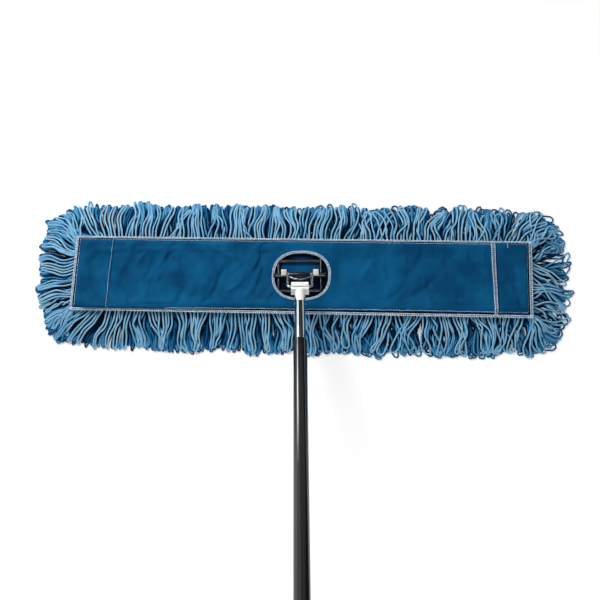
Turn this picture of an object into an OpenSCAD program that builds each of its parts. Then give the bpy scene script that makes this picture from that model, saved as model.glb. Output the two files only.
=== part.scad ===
// Dust mop: a looped-yarn head on a wire frame, with a pivoting clip and a swivelling handle.
// Millimetres. The origin is on the floor under the pivot rod, X runs along the head and Z is up.
// The handle leans toward -Y. Its own pieces are drawn with X across, Y above and Z along the handle.

/* [Mop head] */
// Length of the stitched canvas
canvas_length = 930; // [700:5:1200]
// Width of the stitched canvas
canvas_width = 160; // [156:1:220]
// Corner radius of the canvas
canvas_corner = 6; // [4:0.5:10]
// Thickness of each layer of cloth
cloth_thickness = 1.2; // [0.8:0.1:2]
// Flat seam allowance around the canvas
seam_width = 10; // [8:0.5:11]
// Run of the slope from the seam up over the frame
slope_run = 6; // [4:0.5:7]
// Height of the yarn pile under the cloth
pile_height = 22; // [14:1:30]
// Reach of the yarn fringe beyond the canvas
fringe_reach = 80; // [50:1:100]
// Rise of the fringe above the base cloth
fringe_puff = 3; // [0:0.5:6]
// Height of the fringe near its loops
fringe_tip = 11; // [6:0.5:13]
// Width of one bunch of yarn
bunch_width = 20; // [14:1:40]
// Depth of the valleys between bunches
bunch_relief = 5; // [1:0.5:8]
// Length of each end pocket
pocket_length = 78; // [50:1:120]
// Width of the overlocked bindings
binding_width = 6; // [4:0.5:7]
// Height of the overlocked bindings
binding_height = 1.5; // [1:0.1:2]

/* [Handle opening] */
// Length of the opening in the canvas
opening_length = 110; // [108:1:130]
// Width of the opening in the canvas
opening_width = 95; // [90:1:100]
// Corner radius on the far side of the opening
opening_far_radius = 32; // [20:1:42]
// Corner radius on the near side of the opening
opening_near_radius = 40; // [20:1:42]

/* [Wire frame] */
// Diameter of the frame wire
wire_diameter = 6; // [4:0.5:7]
// Inset of the frame wire from the canvas edge
frame_inset = 20; // [19:0.5:22]
// Bend radius of the frame wire
frame_bend = 30; // [15:1:50]
// Length of each crimped sleeve
sleeve_length = 50; // [30:1:80]
// Wall of each crimped sleeve
sleeve_wall = 1.1; // [0.8:0.1:1.5]
// Spacing of the two cross wires
cross_spacing = 86; // [84:1:92]
// Spacing of the front and rear bars
bar_spacing = 64; // [56:1:76]
// Diameter of the pivot rod
rod_diameter = 7; // [5:0.5:8]
// Overhang of the pivot rod beyond each cross wire
rod_overhang = 6; // [5:0.5:7]
// Diameter of the caps on the pivot rod
cap_diameter = 10; // [10:0.5:13]

/* [Clip] */
// Lean of the handle above the floor at rest
handle_lean = 34.5; // [20:0.5:80]
// Rise of the handle's axis above the pivot rod
handle_rise = 12.5; // [12.5:0.5:16]
// Width of each nylon block along the rod
block_width = 10.5; // [9:0.5:10.5]
// Height of each nylon block
block_height = 14; // [12:0.5:18]
// Depth of each nylon block across the rod
block_depth = 12.4; // [10:0.1:12.4]
// Width of the saddle plate along the rod
saddle_width = 42; // [38:1:43]
// Diameter of the bail wire
bail_diameter = 5; // [4:0.5:6]
// Distance from the pivot rod to the bail's cross bar
bail_reach = 54; // [52:1:60]
// Thickness of the saddle plate
saddle_thickness = 1.6; // [1:0.1:2]
// Depth of the saddle's bowed edge
saddle_bow = 8; // [4:0.5:9]
// Distance from the pivot rod to the middle of the bowed edge
saddle_reach = 17; // [17:0.5:22]
// Diameter of the keeper wire
keeper_diameter = 2.2; // [1.5:0.1:3]
// Width of the clip
clip_width = 35; // [34:1:37]
// Thickness of the clip's sheet metal
clip_wall = 2; // [1.5:0.1:2.5]
// Depth of the clip below the handle's axis
clip_depth = 7.5; // [7.3:0.1:9.2]
// Height of the clip's side walls above the handle's axis
clip_side = 5; // [5:0.1:5.5]
// Diameter of the lever pin
pin_diameter = 3.2; // [2.5:0.1:3.4]
// Wire diameter of the lever spring
spring_wire = 0.9; // [0.6:0.1:1]
// Turns of the lever spring
spring_turns = 8; // [4:1:10]

/* [Handle] */
// Diameter of the swivel stud
stud_diameter = 7.5; // [6:0.5:8]
// Outer diameter of the chrome socket tube
socket_diameter = 20.5; // [19:0.1:21.5]
// Wall of the socket tube
socket_wall = 1.2; // [0.8:0.1:1.5]
// Length of socket tube that shows
socket_showing = 130; // [80:1:180]
// Length of socket tube inside the handle
socket_engagement = 64; // [40:1:90]
// Outer diameter of the black handle tube
handle_diameter = 26; // [24.5:0.1:30]
// Wall of the handle tube
handle_wall = 1.2; // [0.8:0.1:1.6]
// Length of the handle tube
handle_length = 1300; // [800:10:1500]
// Diameter of the hang-up hole
hang_diameter = 9; // [6:0.5:11]

/* [Hidden] */
$fn = 64;

// Clearances: a running fit, pieces that nearly touch, and cuts that pass right through
run_gap = 0.05;
free_gap = 0.3;
through = 1;

// Levels of the cloth layers and the frame
wire_radius = wire_diameter / 2;
rod_radius = rod_diameter / 2;
sleeve_radius = wire_radius + run_gap + sleeve_wall;
base_top = pile_height + cloth_thickness;
frame_level = base_top + free_gap + sleeve_radius;
canvas_under = frame_level + sleeve_radius + free_gap;
canvas_top = canvas_under + cloth_thickness;
rod_level = frame_level + wire_radius + rod_radius + run_gap;

// The raised part of the canvas, and the frame under it
plateau_inset = seam_width + slope_run;
plateau_length = canvas_length - 2 * plateau_inset;
plateau_width = canvas_width - 2 * plateau_inset;
frame_half_length = canvas_length / 2 - frame_inset;
frame_half_width = canvas_width / 2 - frame_inset;
cross_half = cross_spacing / 2;
rod_half = cross_half + wire_radius + rod_overhang;
cap_length = 4;
cap_seat = 1;

// The fringe's section, as shares of its reach
fringe_crest_share = 0.4;
fringe_shoulder_share = 0.85;
fringe_foot_share = 0.93;

// The bail, from the pivot rod to its cross bar
bail_radius = bail_diameter / 2;
bar_drop = 1;
bar_rise = handle_rise - bar_drop;
eyelet_width = 5.5;
eyelet_wall = 2.4;
eyelet_radius = rod_radius + run_gap + eyelet_wall;
leg_middle = saddle_width / 2 + free_gap + eyelet_width / 2;
bail_bend = 5;
bail_length = norm([bar_rise, bail_reach]);
bail_tilt = atan2(bar_rise, bail_reach);
saddle_clear = 0.6;
saddle_inner = rod_radius + saddle_clear;
keeper_radius = keeper_diameter / 2;
keeper_half = saddle_width / 2 - keeper_radius;
keeper_bend = (keeper_half * keeper_half + saddle_bow * saddle_bow) / (2 * saddle_bow);
keeper_centre = saddle_reach - keeper_bend;
keeper_swing = asin(keeper_half / keeper_bend);

// The nylon blocks, snapped on the rod from behind, outside the bail's eyelets
block_middle = leg_middle + eyelet_width / 2 + free_gap + block_width / 2;
block_lean = 18;
block_low = 6;
block_near = 1.2;
block_round = 3;

// Stations along the clip, measured from the pivot rod
jaw_lead = 3.5;
clip_start = bail_reach - jaw_lead;
seat_front = 4;
seat_rear = 3.5;
pad_front = 4;
pin_lead = 6;
pin_at = bail_reach + pin_lead;
pin_rise = 1;
pin_radius = pin_diameter / 2;
ear_radius = 3;
ear_width = 3.5;
lever_nose = 0.5;
lever_start = clip_start - lever_nose;
lever_lead = 2;
lever_tail = 3;
lever_shoulder = pin_at - lever_lead;
lever_end = pin_at + lever_tail;
lever_swing = 3;
lever_thickness = 2;
lever_under = clip_side + free_gap;
lever_overhang = 0.5;
stud_radius = stud_diameter / 2;
head_radius = clip_depth - clip_wall - free_gap;
head_at = pin_at + ear_radius + lever_swing;
roof_at = head_at;
head_length = 3;
washer_at = head_at + head_length + free_gap;
washer_thickness = 1;
wall_at = washer_at + washer_thickness + run_gap;
end_wall = 2.5;
clip_end = wall_at + end_wall;
inner_half = clip_width / 2 - clip_wall;

// Stations along the handle, measured from the pivot rod
socket_radius = socket_diameter / 2;
socket_bore = socket_radius - socket_wall;
handle_radius = handle_diameter / 2;
handle_bore = handle_radius - handle_wall;
collar_at = clip_end + free_gap;
collar_step = 0.5;
collar_radius = socket_radius - collar_step;
collar_edge = 1;
collar_barrel = 18;
collar_length = 24;
socket_at = collar_at + collar_length;
spigot_length = 24;
tongue_radius = 7.5;
tongue_length = 15;
stud_lead = 4;
stud_end = socket_at + stud_lead;
rivet_lead = 14;
rivet_at = socket_at + rivet_lead;
rivet_radius = 2;
rivet_head = 3.4;
rivet_dome = 1.3;
bush_at = socket_at + socket_showing;
bush_rim = 2;
handle_at = bush_at + bush_rim;
bush_setback = 6;
bush_length = socket_engagement - bush_setback;
socket_end = handle_at + socket_engagement;
screw_at = handle_at + bush_length / 2;
screw_radius = 1.8;
screw_head = 3.4;
screw_dome = 1.6;
screw_reach = 2;
handle_end = handle_at + handle_length;
plug_length = 40;
cap_shoulder = 6;
dome_length = 14;
eye_step = 2;
eye_radius = handle_radius - eye_step;
eye_thickness = 7;
eye_web = 3;
eye_at = handle_end + dome_length + hang_diameter / 2 + eye_web;

// Frames: the bail's own axes, the flat plane of its wire, and the handle's axis above them
module bail_frame() {
    translate([0, 0, rod_level]) rotate([90 - handle_lean, 0, 0]) children();
}

module bail_plane() {
    bail_frame() rotate([-bail_tilt, 0, 0]) children();
}

module handle_frame() {
    bail_frame() translate([0, handle_rise, 0]) children();
}

// A box between two limits along each axis
module slab(across, above, along) {
    translate([across[0], above[0], along[0]])
        cube([across[1] - across[0], above[1] - above[0], along[1] - along[0]]);
}

// A rectangle with true round corners
module rounded_rect(length, width, radius) {
    square([length - 2 * radius, width], center = true);
    square([length, width - 2 * radius], center = true);
    for (x = [-1, 1], y = [-1, 1])
        translate([x * (length / 2 - radius), y * (width / 2 - radius)]) circle(radius);
}

// A straight bar along X
module bar_x(from, to, radius) {
    translate([from, 0, 0]) rotate([0, 90, 0]) cylinder(h = to - from, r = radius);
}

// The opening's outline, round on the far side and deeper on the near side
module opening_outline(grow) {
    far_x = opening_length / 2 - opening_far_radius;
    far_y = opening_width / 2 - opening_far_radius;
    near_x = opening_length / 2 - opening_near_radius;
    near_y = opening_width / 2 - opening_near_radius;
    hull() {
        for (side = [-1, 1]) {
            translate([side * far_x, far_y]) circle(opening_far_radius + grow, $fn = 32);
            translate([side * near_x, -near_y]) circle(opening_near_radius + grow, $fn = 32);
        }
    }
}

// Yarn fringe: bunches stand side by side, each station a section from the seam out to the loops.
// A station holds a foot on the canvas edge, the direction it points in, and its valley depth.
function section(station) =
    let (
        foot = station[0],
        heading = [cos(station[1]), sin(station[1])],
        dip = station[2],
        reach = fringe_reach - dip,
        profile = [
            [free_gap, 0],
            [free_gap, base_top],
            [reach * fringe_crest_share, base_top + fringe_puff - dip],
            [reach * fringe_shoulder_share, fringe_tip - dip / 2],
            [reach, fringe_tip / 2],
            [reach * fringe_foot_share, 0]
        ]
    )
    [for (p = profile) [foot[0] + heading[0] * p[0], foot[1] + heading[1] * p[0], p[1]]];

function dip_of(step) = step % 2 == 0 ? bunch_relief : 0;

module fringe(stations) {
    sides = 6;
    last = len(stations) - 1;
    rings = [for (s = stations) each section(s)];
    skin = [
        for (i = [0:last - 1], k = [0:sides - 1])
            let (a = i * sides + k, b = i * sides + (k + 1) % sides)
            each [[a, a + sides, b], [b, a + sides, b + sides]]
    ];
    near_end = [for (k = [1:sides - 2]) [0, k, k + 1]];
    far_end = [for (k = [1:sides - 2]) [last * sides, last * sides + k + 1, last * sides + k]];
    polyhedron(points = rings, faces = concat(skin, near_end, far_end));
}

corner_x = canvas_length / 2 - canvas_corner;
corner_y = canvas_width / 2 - canvas_corner;
side_bunches = round(2 * corner_x / bunch_width);
end_bunches = round(2 * corner_y / bunch_width);
fan_bunches = round((canvas_corner + fringe_reach) * PI / 2 / bunch_width);

// Stations along the near edge, running with X
side_run = 2 * (corner_x - free_gap);
side_stations = [
    for (i = [0:2 * side_bunches])
        [[-side_run / 2 + side_run * i / (2 * side_bunches), -canvas_width / 2], 270, dip_of(i)]
];

// Stations around the right end: a fan at each corner and a straight run between
function fan_foot(y_side, heading) =
    [corner_x + canvas_corner * cos(heading), y_side * corner_y + canvas_corner * sin(heading)];

fan_turn = 90 / (2 * fan_bunches);
end_step = 2 * corner_y / (2 * end_bunches);
end_stations = concat(
    [for (i = [0:2 * fan_bunches]) [fan_foot(-1, -90 + fan_turn * i), -90 + fan_turn * i, dip_of(i)]],
    [for (i = [1:2 * end_bunches]) [[canvas_length / 2, -corner_y + end_step * i], 0, dip_of(i)]],
    [for (i = [1:2 * fan_bunches]) [fan_foot(1, fan_turn * i), fan_turn * i, dip_of(i)]]
);

module yarn_pile() {
    color("#1d6fc4") linear_extrude(pile_height) rounded_rect(canvas_length, canvas_width, canvas_corner);
}

module fringe_front() {
    color("#2a7bd0") fringe(side_stations);
}

module fringe_rear() {
    color("#2a7bd0") rotate([0, 0, 180]) fringe(side_stations);
}

module fringe_left() {
    color("#2a7bd0") rotate([0, 0, 180]) fringe(end_stations);
}

module fringe_right() {
    color("#2a7bd0") fringe(end_stations);
}

module base_cloth() {
    color("#1b5f96")
        translate([0, 0, pile_height])
            linear_extrude(cloth_thickness)
                rounded_rect(canvas_length, canvas_width, canvas_corner);
}

// The canvas's raised part, as a block whose sides slope in toward its top
module raised_block(bottom_inset, bottom, top) {
    film = 0.01;
    hull() {
        translate([0, 0, bottom])
            linear_extrude(film)
                square([canvas_length - 2 * bottom_inset, canvas_width - 2 * bottom_inset], center = true);
        translate([0, 0, top - film])
            linear_extrude(film)
                square([plateau_length, plateau_width], center = true);
    }
}

module top_canvas() {
    color("#12558a") difference() {
        union() {
            translate([0, 0, base_top])
                linear_extrude(cloth_thickness)
                    rounded_rect(canvas_length, canvas_width, canvas_corner);
            raised_block(seam_width, base_top, canvas_top);
        }
        raised_block(seam_width + cloth_thickness, base_top - cloth_thickness, canvas_under);
        translate([0, 0, canvas_under - through])
            linear_extrude(cloth_thickness + 2 * through)
                opening_outline(0);
    }
}

// A pocket panel on the raised canvas, from the end back to the pocket's mouth
module pocket(side) {
    panel = pocket_length - plateau_inset;
    translate([side * (plateau_length - panel) / 2, 0, canvas_top])
        linear_extrude(cloth_thickness)
            square([panel, plateau_width], center = true);
}

module left_pocket() {
    color("#155b92") pocket(-1);
}

module right_pocket() {
    color("#0f4f84") pocket(1);
}

module edge_binding() {
    color("#c9c3dd")
        translate([0, 0, base_top + cloth_thickness])
            linear_extrude(binding_height)
                difference() {
                    rounded_rect(canvas_length, canvas_width, canvas_corner);
                    square([canvas_length - 2 * binding_width, canvas_width - 2 * binding_width], center = true);
                }
}

module opening_binding() {
    color("#c9c3dd")
        translate([0, 0, canvas_top])
            linear_extrude(binding_height)
                difference() {
                    opening_outline(binding_width);
                    opening_outline(0);
                }
}

module pocket_binding() {
    mouth = canvas_length / 2 - pocket_length + binding_width / 2;
    color("#c9c3dd")
        for (side = [-1, 1])
            translate([side * mouth, 0, canvas_top + cloth_thickness])
                linear_extrude(binding_height)
                    square([binding_width, plateau_width], center = true);
}

// One half of the outer wire: two long runs, two bends and the end run
module frame_half() {
    bend_x = frame_half_length - frame_bend;
    bend_y = frame_half_width - frame_bend;
    translate([0, 0, frame_level]) {
        for (side = [-1, 1]) {
            translate([0, side * frame_half_width, 0]) bar_x(free_gap / 2, bend_x, wire_radius);
            translate([bend_x, side * bend_y, 0])
                rotate([0, 0, side < 0 ? -90 : 0])
                    rotate_extrude(angle = 90)
                        translate([frame_bend, 0]) circle(wire_radius);
        }
        translate([frame_half_length, bend_y, 0])
            rotate([90, 0, 0])
                cylinder(h = 2 * bend_y, r = wire_radius);
    }
}

module frame_wire_left() {
    color("silver") mirror([1, 0, 0]) frame_half();
}

module frame_wire_right() {
    color("silver") frame_half();
}

module frame_sleeves() {
    color("gray")
        for (side = [-1, 1])
            translate([0, side * frame_half_width, frame_level])
                difference() {
                    bar_x(-sleeve_length / 2, sleeve_length / 2, sleeve_radius);
                    bar_x(-sleeve_length / 2 - through, sleeve_length / 2 + through, wire_radius + run_gap);
                }
}

module cross_wire(side) {
    half = frame_half_width - wire_radius - run_gap;
    translate([side * cross_half, half, frame_level])
        rotate([90, 0, 0])
            cylinder(h = 2 * half, r = wire_radius);
}

module cross_wire_left() {
    color("silver") cross_wire(-1);
}

module cross_wire_right() {
    color("silver") cross_wire(1);
}

module cross_bar(side) {
    half = cross_half - wire_radius - run_gap;
    translate([0, side * bar_spacing / 2, frame_level]) bar_x(-half, half, wire_radius);
}

module bar_front() {
    color("silver") cross_bar(-1);
}

module bar_rear() {
    color("silver") cross_bar(1);
}

module pivot_rod() {
    color("silver") translate([0, 0, rod_level]) bar_x(-rod_half, rod_half, rod_radius);
}

module rod_caps() {
    color("dimgray")
        for (side = [-1, 1])
            translate([side * (rod_half + cap_seat - cap_length / 2), 0, rod_level])
                difference() {
                    bar_x(-cap_length / 2, cap_length / 2, cap_diameter / 2);
                    translate([-side * (cap_seat - run_gap), 0, 0])
                        bar_x(-cap_length / 2, cap_length / 2, rod_radius + run_gap);
                }
}

// A nylon block that snaps on the rod, leans toward the handle and keeps the bail in the middle
module block(side) {
    translate([0, 0, rod_level]) rotate([block_lean, 0, 0]) difference() {
        translate([side * block_middle, block_depth / 2 - block_near, block_height / 2 - block_low])
            rotate([0, 90, 0])
                linear_extrude(block_width, center = true)
                    rounded_rect(block_height, block_depth, block_round);
        bar_x(-rod_half, rod_half, rod_radius + run_gap);
    }
}

module left_block() {
    color("ivory") block(-1);
}

module right_block() {
    color("ivory") block(1);
}

// The bail: an eyelet round the rod at the foot of each leg, and a cross bar between two bends
module bail() {
    bend_x = leg_middle - bail_bend;
    bend_z = bail_length - bail_bend;
    color("silver") bail_plane() difference() {
        union() {
            for (side = [0, 1])
                mirror([side, 0, 0]) {
                    translate([leg_middle, 0, 0]) {
                        bar_x(-eyelet_width / 2, eyelet_width / 2, eyelet_radius);
                        cylinder(h = bend_z, r = bail_radius);
                    }
                    translate([bend_x, 0, bend_z])
                        rotate([90, 0, 0])
                            rotate_extrude(angle = 90)
                                translate([bail_bend, 0]) circle(bail_radius);
                }
            translate([0, 0, bail_length]) bar_x(-bend_x, bend_x, bail_radius);
        }
        bar_x(-rod_half, rod_half, rod_radius + run_gap);
    }
}

// The saddle: a half sleeve over the rod with a tongue that ends in a bowed edge
module rod_saddle() {
    half = saddle_width / 2;
    outer = saddle_inner + saddle_thickness;
    color("dimgray") bail_frame() difference() {
        union() {
            intersection() {
                bar_x(-half, half, outer);
                slab([-half, half], [-saddle_thickness / 2, outer], [-outer, outer]);
            }
            rotate([-90, 0, 0])
                linear_extrude(saddle_thickness, center = true)
                    intersection() {
                        translate([-half, -saddle_reach - keeper_radius]) square([2 * half, saddle_reach]);
                        translate([0, -keeper_centre]) circle(keeper_bend + keeper_radius);
                    }
        }
        bar_x(-half - through, half + through, saddle_inner);
    }
}

module keeper_wire() {
    color("silver")
        bail_frame()
            translate([0, saddle_thickness / 2 + keeper_radius, keeper_centre])
                rotate([-90, 0, 0])
                    rotate([0, 0, 270 - keeper_swing])
                        rotate_extrude(angle = 2 * keeper_swing)
                            translate([keeper_bend, 0]) circle(keeper_radius);
}

// The clip: a channel with a seat for the bail's cross bar, closed by a roof and an end wall at the swivel
module clip_body() {
    half = clip_width / 2;
    floor_top = clip_wall - clip_depth;
    color("gainsboro") handle_frame() difference() {
        union() {
            slab([-half, half], [-clip_depth, floor_top], [clip_start, clip_end]);
            for (side = [-1, 1])
                translate([side * (half - clip_wall / 2), 0, 0])
                    union() {
                        slab([-clip_wall / 2, clip_wall / 2], [-clip_depth, clip_side], [clip_start, clip_end]);
                        slab([-clip_wall / 2, clip_wall / 2], [-clip_depth, clip_depth], [roof_at, clip_end]);
                    }
            slab([-half, half], [clip_depth - clip_wall, clip_depth], [roof_at, clip_end]);
            slab([-half, half], [-clip_depth, clip_depth], [wall_at, clip_end]);
            slab([-half, half], [-clip_depth, -bar_drop], [bail_reach - seat_front, bail_reach + seat_rear]);
        }
        translate([0, -bar_drop, bail_reach]) bar_x(-half - through, half + through, bail_radius + run_gap);
        slab([-half - through, half + through], [-bar_drop, clip_side + through],
            [bail_reach - bail_radius - run_gap, bail_reach + bail_radius + run_gap]);
        translate([0, 0, wall_at - through])
            cylinder(h = end_wall + 2 * through, r = stud_radius + run_gap);
        translate([0, pin_rise, pin_at]) bar_x(-half - through, half + through, pin_radius + run_gap);
    }
}

module thrust_washer() {
    color("ivory") handle_frame() translate([0, 0, washer_at]) difference() {
        cylinder(h = washer_thickness, r = head_radius - run_gap);
        translate([0, 0, -through]) cylinder(h = washer_thickness + 2 * through, r = stud_radius + run_gap);
    }
}

module lever_pin() {
    half = clip_width / 2;
    color("silver") handle_frame() translate([0, pin_rise, pin_at]) bar_x(-half, half, pin_radius);
}

// The lever spring: one unbroken wire, a leg to the clip's floor, the turns, and a leg under the lever
spring_clear = 0.5;
turn_gap = 0.6;
spring_radius = pin_radius + spring_wire / 2 + spring_clear;
spring_pitch = spring_wire + turn_gap;
turn_rings = 8;
spring_half = spring_turns * spring_pitch / 2;
leg_down = pin_rise + clip_depth - clip_wall - spring_wire / 2 - free_gap;
leg_up = lever_under - pin_rise - spring_wire / 2 - free_gap;
coil = [
    for (i = [0:spring_turns * turn_rings])
        let (turn = 360 * i / turn_rings)
        [-spring_half + spring_pitch * i / turn_rings, spring_radius * sin(turn), spring_radius * cos(turn)]
];
spring_path = concat([[-spring_half, -leg_down, spring_radius]], coil, [[spring_half, leg_up, spring_radius]]);
spring_gap = min([
    for (i = [0:len(coil) - 1 - turn_rings]) norm(coil[i + turn_rings] - coil[i]) - spring_wire
]);
echo(least_gap_between_spring_turns = spring_gap);

function unit(v) = v / norm(v);
function path_ring(path, i, radius, sides) =
    let (
        back = max(i - 1, 0),
        ahead = min(i + 1, len(path) - 1),
        along = unit(path[ahead] - path[back]),
        across = unit(cross(along, abs(along[0]) > 0.9 ? [0, 1, 0] : [1, 0, 0])),
        over = cross(along, across)
    )
    [for (k = [0:sides - 1]) path[i] + radius * (cos(360 * k / sides) * across + sin(360 * k / sides) * over)];

module wire_along(path, radius) {
    sides = 6;
    last = len(path) - 1;
    rings = [for (i = [0:last]) each path_ring(path, i, radius, sides)];
    skin = [
        for (i = [0:last - 1], k = [0:sides - 1])
            let (a = i * sides + k, b = i * sides + (k + 1) % sides)
            each [[a, a + sides, b], [b, a + sides, b + sides]]
    ];
    near_end = [for (k = [1:sides - 2]) [0, k, k + 1]];
    far_end = [for (k = [1:sides - 2]) [last * sides, last * sides + k + 1, last * sides + k]];
    polyhedron(points = rings, faces = concat(skin, near_end, far_end));
}

module lever_spring() {
    color("gray") handle_frame() translate([0, pin_rise, pin_at]) wire_along(spring_path, spring_wire / 2);
}

// The lever: a thumb plate with a pad over the bail's cross bar and two ears on the pin
module clip_lever() {
    half = clip_width / 2 - lever_overhang;
    ear_outer = inner_half - free_gap;
    pad_under = bail_radius - bar_drop + free_gap;
    plate = [lever_under, lever_under + lever_thickness];
    color("white") handle_frame() difference() {
        union() {
            slab([-half, half], plate, [lever_start, lever_shoulder]);
            slab([-ear_outer, ear_outer], plate, [lever_shoulder, lever_end]);
            slab([-ear_outer, ear_outer], [pad_under, plate[1]],
                [bail_reach - pad_front, bail_reach + bail_radius]);
            for (side = [-1, 1])
                translate([side * (ear_outer - ear_width / 2), 0, 0]) {
                    translate([0, pin_rise, pin_at]) bar_x(-ear_width / 2, ear_width / 2, ear_radius);
                    slab([-ear_width / 2, ear_width / 2], [pin_rise, plate[0] + through],
                        [pin_at - ear_radius, lever_end]);
                }
        }
        translate([0, pin_rise, pin_at]) bar_x(-half, half, pin_radius + run_gap);
    }
}

module swivel_stud() {
    color("silver") handle_frame() {
        translate([0, 0, head_at]) cylinder(h = head_length, r = head_radius);
        translate([0, 0, head_at]) cylinder(h = stud_end - head_at, r = stud_radius);
    }
}

// The outline of a round-ended tongue on the collar's top and underside, cut through the tube's end
module tongue(grow) {
    straight = tongue_length - tongue_radius;
    half = tongue_radius + grow;
    translate([0, 0, socket_at])
        rotate([90, 0, 0])
            linear_extrude(2 * socket_diameter, center = true) {
                translate([-half, -through]) square([2 * half, straight + through]);
                translate([0, straight]) circle(half);
            }
}

module swivel_collar() {
    taper_end = socket_at - collar_at;
    color("gainsboro") handle_frame() difference() {
        union() {
            translate([0, 0, collar_at]) rotate_extrude() polygon([
                [0, 0],
                [collar_radius - collar_edge, 0],
                [collar_radius, collar_edge],
                [collar_radius, collar_barrel],
                [socket_radius, taper_end],
                [socket_bore - run_gap, taper_end],
                [socket_bore - run_gap, taper_end + spigot_length],
                [0, taper_end + spigot_length]
            ]);
            intersection() {
                tongue(0);
                translate([0, 0, socket_at]) cylinder(h = tongue_length, r = socket_radius);
            }
        }
        translate([0, 0, collar_at - through])
            cylinder(h = stud_end - collar_at + through + run_gap, r = stud_radius + run_gap);
        translate([0, 0, rivet_at]) bar_x(-collar_radius, collar_radius, rivet_radius + run_gap);
    }
}

// A low domed fastener head on a tube's side, standing on the tube along its own Z
module dome_head(radius, height) {
    bend = (radius * radius + height * height) / (2 * height);
    intersection() {
        translate([0, 0, height - bend]) sphere(bend);
        cylinder(h = height, r = radius);
    }
}

module collar_rivet() {
    seat = socket_radius;
    color("silver") handle_frame() translate([0, 0, rivet_at]) {
        bar_x(-seat - rivet_dome / 2, seat + rivet_dome / 2, rivet_radius);
        for (side = [-1, 1])
            translate([side * seat, 0, 0]) rotate([0, side * 90, 0]) dome_head(rivet_head, rivet_dome);
    }
}

module socket_tube() {
    color("silver") handle_frame() difference() {
        translate([0, 0, socket_at]) cylinder(h = socket_end - socket_at, r = socket_radius);
        translate([0, 0, socket_at - through])
            cylinder(h = socket_end - socket_at + 2 * through, r = socket_bore);
        tongue(run_gap);
        translate([0, 0, rivet_at]) bar_x(-handle_radius, handle_radius, rivet_radius + run_gap);
        screw_hole();
    }
}

// The screw enters from under the handle
module screw_hole() {
    translate([0, 0, screw_at])
        rotate([90, 0, 0])
            cylinder(h = handle_radius + through, r = screw_radius + run_gap);
}

module handle_bush() {
    color("dimgray") handle_frame() difference() {
        union() {
            translate([0, 0, bush_at]) cylinder(h = bush_rim, r = handle_radius);
            translate([0, 0, bush_at]) cylinder(h = bush_rim + bush_length, r = handle_bore - run_gap);
        }
        translate([0, 0, bush_at - through])
            cylinder(h = bush_rim + bush_length + 2 * through, r = socket_radius + run_gap);
        screw_hole();
    }
}

module bush_screw() {
    tip = socket_bore - screw_reach;
    color("silver") handle_frame() translate([0, 0, screw_at]) rotate([90, 0, 0]) {
        translate([0, 0, tip]) cylinder(h = handle_radius - tip + screw_dome / 2, r = screw_radius);
        translate([0, 0, handle_radius]) dome_head(screw_head, screw_dome);
    }
}

module handle_tube() {
    color("#161616") handle_frame() difference() {
        translate([0, 0, handle_at]) cylinder(h = handle_length, r = handle_radius);
        translate([0, 0, handle_at - through]) cylinder(h = handle_length + 2 * through, r = handle_bore);
        screw_hole();
    }
}

// The end cap: a plug in the tube, a domed end and a flat eye to hang the mop by
module end_cap() {
    color("#202020") handle_frame() difference() {
        union() {
            translate([0, 0, handle_end - plug_length]) cylinder(h = plug_length, r = handle_bore - run_gap);
            translate([0, 0, handle_end]) cylinder(h = cap_shoulder, r = handle_radius);
            translate([0, 0, handle_end + cap_shoulder])
                cylinder(h = dome_length - cap_shoulder, r1 = handle_radius, r2 = eye_radius - eye_step);
            slab([-eye_radius, eye_radius], [-eye_thickness / 2, eye_thickness / 2],
                [handle_end + cap_shoulder, eye_at]);
            translate([0, eye_thickness / 2, eye_at]) rotate([90, 0, 0]) cylinder(h = eye_thickness, r = eye_radius);
        }
        translate([0, handle_radius, eye_at]) rotate([90, 0, 0]) cylinder(h = handle_diameter, d = hang_diameter);
    }
}

yarn_pile();
fringe_front();
fringe_rear();
fringe_left();
fringe_right();
base_cloth();
top_canvas();
left_pocket();
right_pocket();
edge_binding();
opening_binding();
pocket_binding();
frame_wire_left();
frame_wire_right();
frame_sleeves();
cross_wire_left();
cross_wire_right();
bar_front();
bar_rear();
pivot_rod();
rod_caps();
left_block();
right_block();
bail();
rod_saddle();
keeper_wire();
clip_body();
thrust_washer();
lever_pin();
lever_spring();
clip_lever();
swivel_stud();
swivel_collar();
collar_rivet();
socket_tube();
handle_bush();
bush_screw();
handle_tube();
end_cap();
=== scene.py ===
import math

import bmesh
import bpy
import numpy as np
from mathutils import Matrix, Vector
from mathutils.bvhtree import BVHTree


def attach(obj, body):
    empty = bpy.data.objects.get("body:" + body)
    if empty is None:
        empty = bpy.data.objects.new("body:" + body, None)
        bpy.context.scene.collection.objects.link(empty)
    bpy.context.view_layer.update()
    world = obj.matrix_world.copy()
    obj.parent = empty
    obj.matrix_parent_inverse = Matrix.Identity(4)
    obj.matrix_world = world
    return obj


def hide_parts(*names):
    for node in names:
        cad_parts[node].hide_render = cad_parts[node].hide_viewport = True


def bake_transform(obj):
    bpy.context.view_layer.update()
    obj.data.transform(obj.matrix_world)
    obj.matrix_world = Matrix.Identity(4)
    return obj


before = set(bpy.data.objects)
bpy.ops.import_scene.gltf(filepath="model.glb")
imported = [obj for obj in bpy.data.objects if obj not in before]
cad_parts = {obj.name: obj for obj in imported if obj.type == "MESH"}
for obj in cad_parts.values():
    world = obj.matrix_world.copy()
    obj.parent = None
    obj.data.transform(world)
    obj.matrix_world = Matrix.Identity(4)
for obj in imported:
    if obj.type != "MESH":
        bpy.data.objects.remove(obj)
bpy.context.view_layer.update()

scene = bpy.context.scene
scene.view_settings.view_transform = "Standard"
mm = 0.001
tiny = 1e-9  # keeps a division by a length from failing


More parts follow.
